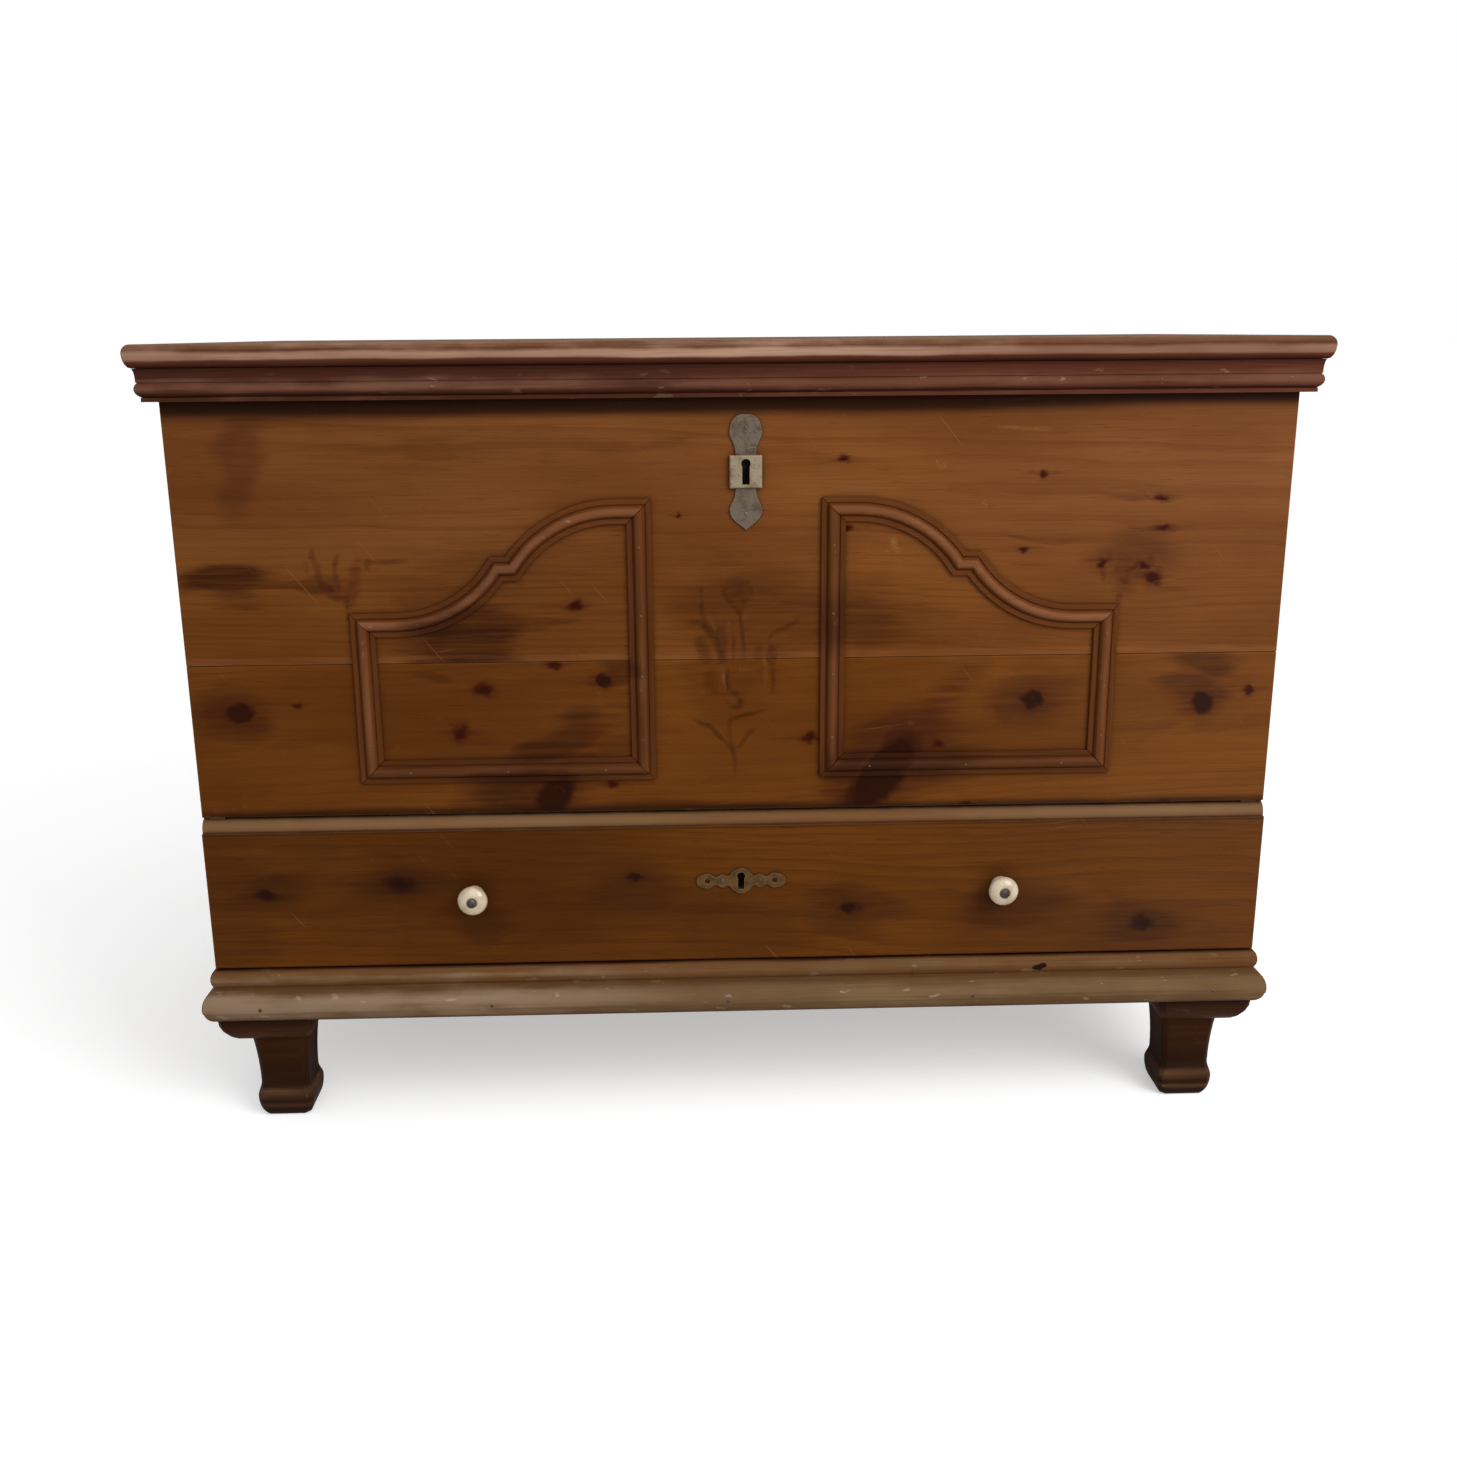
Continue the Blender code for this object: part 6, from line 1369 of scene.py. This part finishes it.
strap_screws = [(side * HINGE_X, y, strap_z) for side in (-1, 1) for y in STRAP_HOLES]
plate_low, plate_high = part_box("lid_lock_plate")
plate_x = (plate_low.x + plate_high.x) / 2
plate_pins = [(plate_x, plate_low.y, plate_high.z - PLATE_PIN_TOP),
              (plate_x, plate_low.y, plate_low.z + PLATE_PIN_FOOT)]
brass_low, brass_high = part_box("drawer_lock_plate")
brass_x = (brass_low.x + brass_high.x) / 2
brass_z = (brass_low.z + brass_high.z) / 2
brass_pins = [(brass_x + side * BRASS_PIN_X, brass_low.y, brass_z) for side in (-1, 1)]
leaf_count = nail_heads("case_screws", "case", forged_iron,
                        [(BACK, LEAF_SCREW, leaf_screws)], seed=6)
plate_count = nail_heads("lock_plate_pins", "case", plate_iron,
                         [(FRONT, PLATE_PIN, plate_pins)], seed=7)
strap_count = nail_heads("strap_screws", "lid", forged_iron,
                         [(DOWN, STRAP_SCREW, strap_screws)], seed=8)
brass_count = nail_heads("drawer_plate_pins", "drawer", old_brass,
                         [(FRONT, BRASS_PIN, brass_pins)], seed=9)
print("hinge screws:", leaf_count + strap_count, "plate pins:", plate_count + brass_count)

# %% [markdown]
# ## Faded tulips
# Folk painters put tulips on such chests. Only brown shadows of the brush strokes are left here: one tall
# plant between the frames and a small cup at the shoulder of each. A few pale nicks in the finish are
# drawn in the same way. Each row gives a stroke's width, its strength and then its places, two numbers
# for each, with all lengths in tenths of a millimetre.

# %% Tulip strokes
CENTRE_STROKES = [
    (49, 0.55, -141, 5889, -109, 5772, -43, 5695, 28, 5584),
    (49, 0.45, 157, 5869, 124, 5769, 65, 5694, 31, 5584), (155, 0.5, -116, 5906, 8, 5854, 141, 5903),
    (122, 0.45, -59, 5796, 16, 5770, 91, 5794), (36, 0.75, 28, 5618, 41, 5500, 60, 5346, 69, 5141),
    (36, 0.55, -357, 5892, -353, 5741, -344, 5589, -295, 5487),
    (39, 0.6, -486, 5507, -370, 5508, -295, 5453),
    (75, 0.9, -345, 5496, -279, 5427, -221, 5324, -175, 5221, -156, 5092),
    (111, 0.62, -388, 5369, -339, 5249, -299, 5086), (90, 0.7, -166, 5468, -148, 5315, -143, 5092),
    (29, 0.55, -33, 5416, -34, 5279, -38, 5125), (72, 0.45, 214, 5301, 217, 5104),
    (82, 0.9, 352, 5282, 349, 5171, 349, 5068), (49, 0.65, 349, 5068, 369, 4964, 355, 4756),
    (39, 0.6, 307, 5292, 365, 5393, 466, 5443, 583, 5501, 619, 5577),
    (114, 0.35, -300, 5026, -268, 4904, -235, 4765), (42, 0.6, -93, 5040, -104, 4919, -74, 4797),
    (56, 0.7, -83, 4823, 1, 4753, 35, 4682, -25, 4636, -109, 4690),
    (39, 0.7, -97, 4474, 17, 4537, 162, 4570, 323, 4613),
    (42, 0.8, -458, 4515, -357, 4470, -261, 4424, -193, 4335, -121, 4263, -45, 4164),
    (39, 0.7, -45, 4164, 45, 4251, 110, 4356, 195, 4417),
    (49, 0.5, -67, 4570, -85, 4448, -69, 4289, -41, 4155, -25, 4048, -43, 3897),
]
PALE_STROKES = [
    (39, 0.7, -302, 5606, -261, 5521, -220, 5435), (36, 0.6, -77, 5535, -78, 5416),
    (36, 0.9, -148, 5049, -137, 4954, -121, 4833), (42, 0.8, 273, 5172, 281, 5017, 284, 4844),
    (49, 0.55, 20, 5017, 96, 5023, 180, 5015), (42, 0.5, 98, 5583, 48, 5533),
    (36, 0.55, -288, 5351, -242, 5248),
]
LEFT_STROKES = [
    (56, 0.7, -4167, 6300, -4166, 6216, -4128, 6124, -4120, 6004, -4092, 5925),
    (87, 0.85, -4132, 5947, -4065, 5911, -3993, 5846, -3905, 5799, -3843, 5751),
    (48, 0.7, -3898, 6262, -3942, 6178, -3954, 6094, -3954, 5987, -3927, 5887),
    (98, 0.7, -3681, 6189, -3746, 6119, -3770, 6013, -3777, 5914, -3821, 5800, -3857, 5686),
    (50, 0.55, -3625, 6196, -3647, 6069), (42, 0.35, -4229, 6182, -4229, 6047),
    (168, 0.35, -4029, 5917, -3920, 5887, -3806, 5900),
    (50, 0.6, -3841, 5772, -3860, 5672, -3859, 5571), (44, 0.6, -3680, 6160, -3470, 6158, -3230, 6176),
]
RIGHT_STROKES = [
    (36, 0.55, 3719, 6178, 3724, 6042), (48, 0.6, 3675, 6014, 3674, 5884),
    (39, 0.55, 3875, 5973, 3964, 6003, 4014, 6060, 4085, 6071),
    (42, 0.75, 3997, 5934, 4059, 5927, 4121, 5965), (56, 0.45, 4136, 6166, 4154, 6008),
    (252, 0.4, 3772, 6020, 3911, 5975, 4068, 6009), (182, 0.38, 3830, 5890, 3892, 5817, 3939, 5874),
    (56, 0.5, 3859, 5774, 3837, 5687, 3831, 5592, 3825, 5497),
]
NICK_STROKES = [
    (36, 0.7, 1470, 6180, 1519, 6219), (54, 1.0, 1546, 6358, 1567, 6278, 1609, 6178),
    (42, 0.7, 1952, 7096, 1993, 7038, 2042, 7037, 2070, 7095), (54, 0.8, 2438, 6702, 2461, 6623),
    (32, 0.7, 2539, 7417, 2746, 7396, 3089, 7383),
]
print("strokes of the tall plant:", len(CENTRE_STROKES) + len(PALE_STROKES))
print("strokes of the cups:", len(LEFT_STROKES) + len(RIGHT_STROKES), "nicks:", len(NICK_STROKES))

# %% [markdown]
# Paint could be drawn into the board's own finish, but a brush leaves a film with soft edges that follows
# its own path. So every stroke is a thin ribbon along a curve, about a tenth of a millimetre thick. Noise
# in its Alpha breaks it where it has rubbed away. A film so thin throws no shadow, so its shadow is
# turned off.

# %% Faded paint
def faded_paint(name, thick, thin, most):
    """Most is the Alpha of an unrubbed stroke of full strength."""
    finish, bench, shader = new_finish(name, roughness=0.6, specular=0.05)
    place = rest_place(bench)
    rub = bench.cloud(place, (45, 45, 190), detail=4, rough=0.65)
    bench.feed(shader.inputs["Base Color"], bench.tint(rub, colour(*thick), colour(*thin)))
    body = bench.put("Attribute", attribute_name="brush").outputs["Fac"]
    kept = bench.span(rub, 0.28, 0.66, most, most * 0.35)
    bench.feed(shader.inputs["Alpha"], bench.times(body, kept))
    return finish


dark_paint = faded_paint("dark_tulip_paint", (48, 20, 7), (62, 29, 11), 0.85)
red_paint = faded_paint("red_tulip_paint", (66, 27, 13), (80, 38, 19), 0.85)
pale_paint = faded_paint("pale_tulip_paint", (132, 86, 46), (120, 75, 36), 0.50)
nick_wood = faded_paint("bare_nick_wood", (146, 102, 54), (134, 90, 46), 0.70)
print("three paints and one bare wood for the nicks")

# %% Lay the strokes
PAINT_PROUD = 0.00012
LAYER_STEP = 0.05
STROKE_STEPS = 8
THIN_END, SWELL = 0.45, 0.35
RIBBON = [(-1.0, 0.1), (-0.6, 0.6), (-0.2, 1.0), (0.2, 1.0), (0.6, 0.6), (1.0, 0.1)]


def paint_strokes(name, strokes, finish):
    """Ribbons that lie on the front boards: edges at the wood, middle a hair proud of it."""
    shape = bmesh.new()
    brush = shape.verts.layers.float.new("brush")
    for order, (width, strength, *spots) in enumerate(strokes):
        path = curve_through(in_metres(zip(spots[::2], spots[1::2])), STROKE_STEPS)
        lift = PAINT_PROUD * (1 + order * LAYER_STEP)
        rows = []
        for index, (x, z) in enumerate(path):
            ahead = path[min(index + 1, len(path) - 1)]
            behind = path[max(index - 1, 0)]
            along = Vector((ahead[0] - behind[0], 0, ahead[1] - behind[1])).normalized()
            aside = Vector((along.z, 0, -along.x))
            swell = sin(pi * (index + 0.5) / len(path)) ** 0.5
            half = width / TENTHS * (THIN_END + SWELL * swell)
            row = []
            for offset, proud in RIBBON:
                place = Vector((x, FACE_Y - lift * proud, z)) + aside * half * offset
                point = shape.verts.new(place)
                point[brush] = strength * swell * (1 - offset ** 2)
                row.append(point)
            rows.append(row)
        for lower, upper in zip(rows, rows[1:]):
            for left in range(len(lower) - 1):
                shape.faces.new((lower[left], lower[left + 1], upper[left + 1], upper[left]))
    bmesh.ops.recalc_face_normals(shape, faces=shape.faces)
    piece = new_piece(name, shape, finish, "case")
    piece.visible_shadow = False


paint_strokes("tulip_centre", CENTRE_STROKES, dark_paint)
paint_strokes("tulip_lights", PALE_STROKES, pale_paint)
paint_strokes("tulip_left", LEFT_STROKES, red_paint)
paint_strokes("tulip_right", RIGHT_STROKES, red_paint)
paint_strokes("bare_nicks", NICK_STROKES, nick_wood)
print("front painted; a ribbon is", len(RIBBON), "points wide")
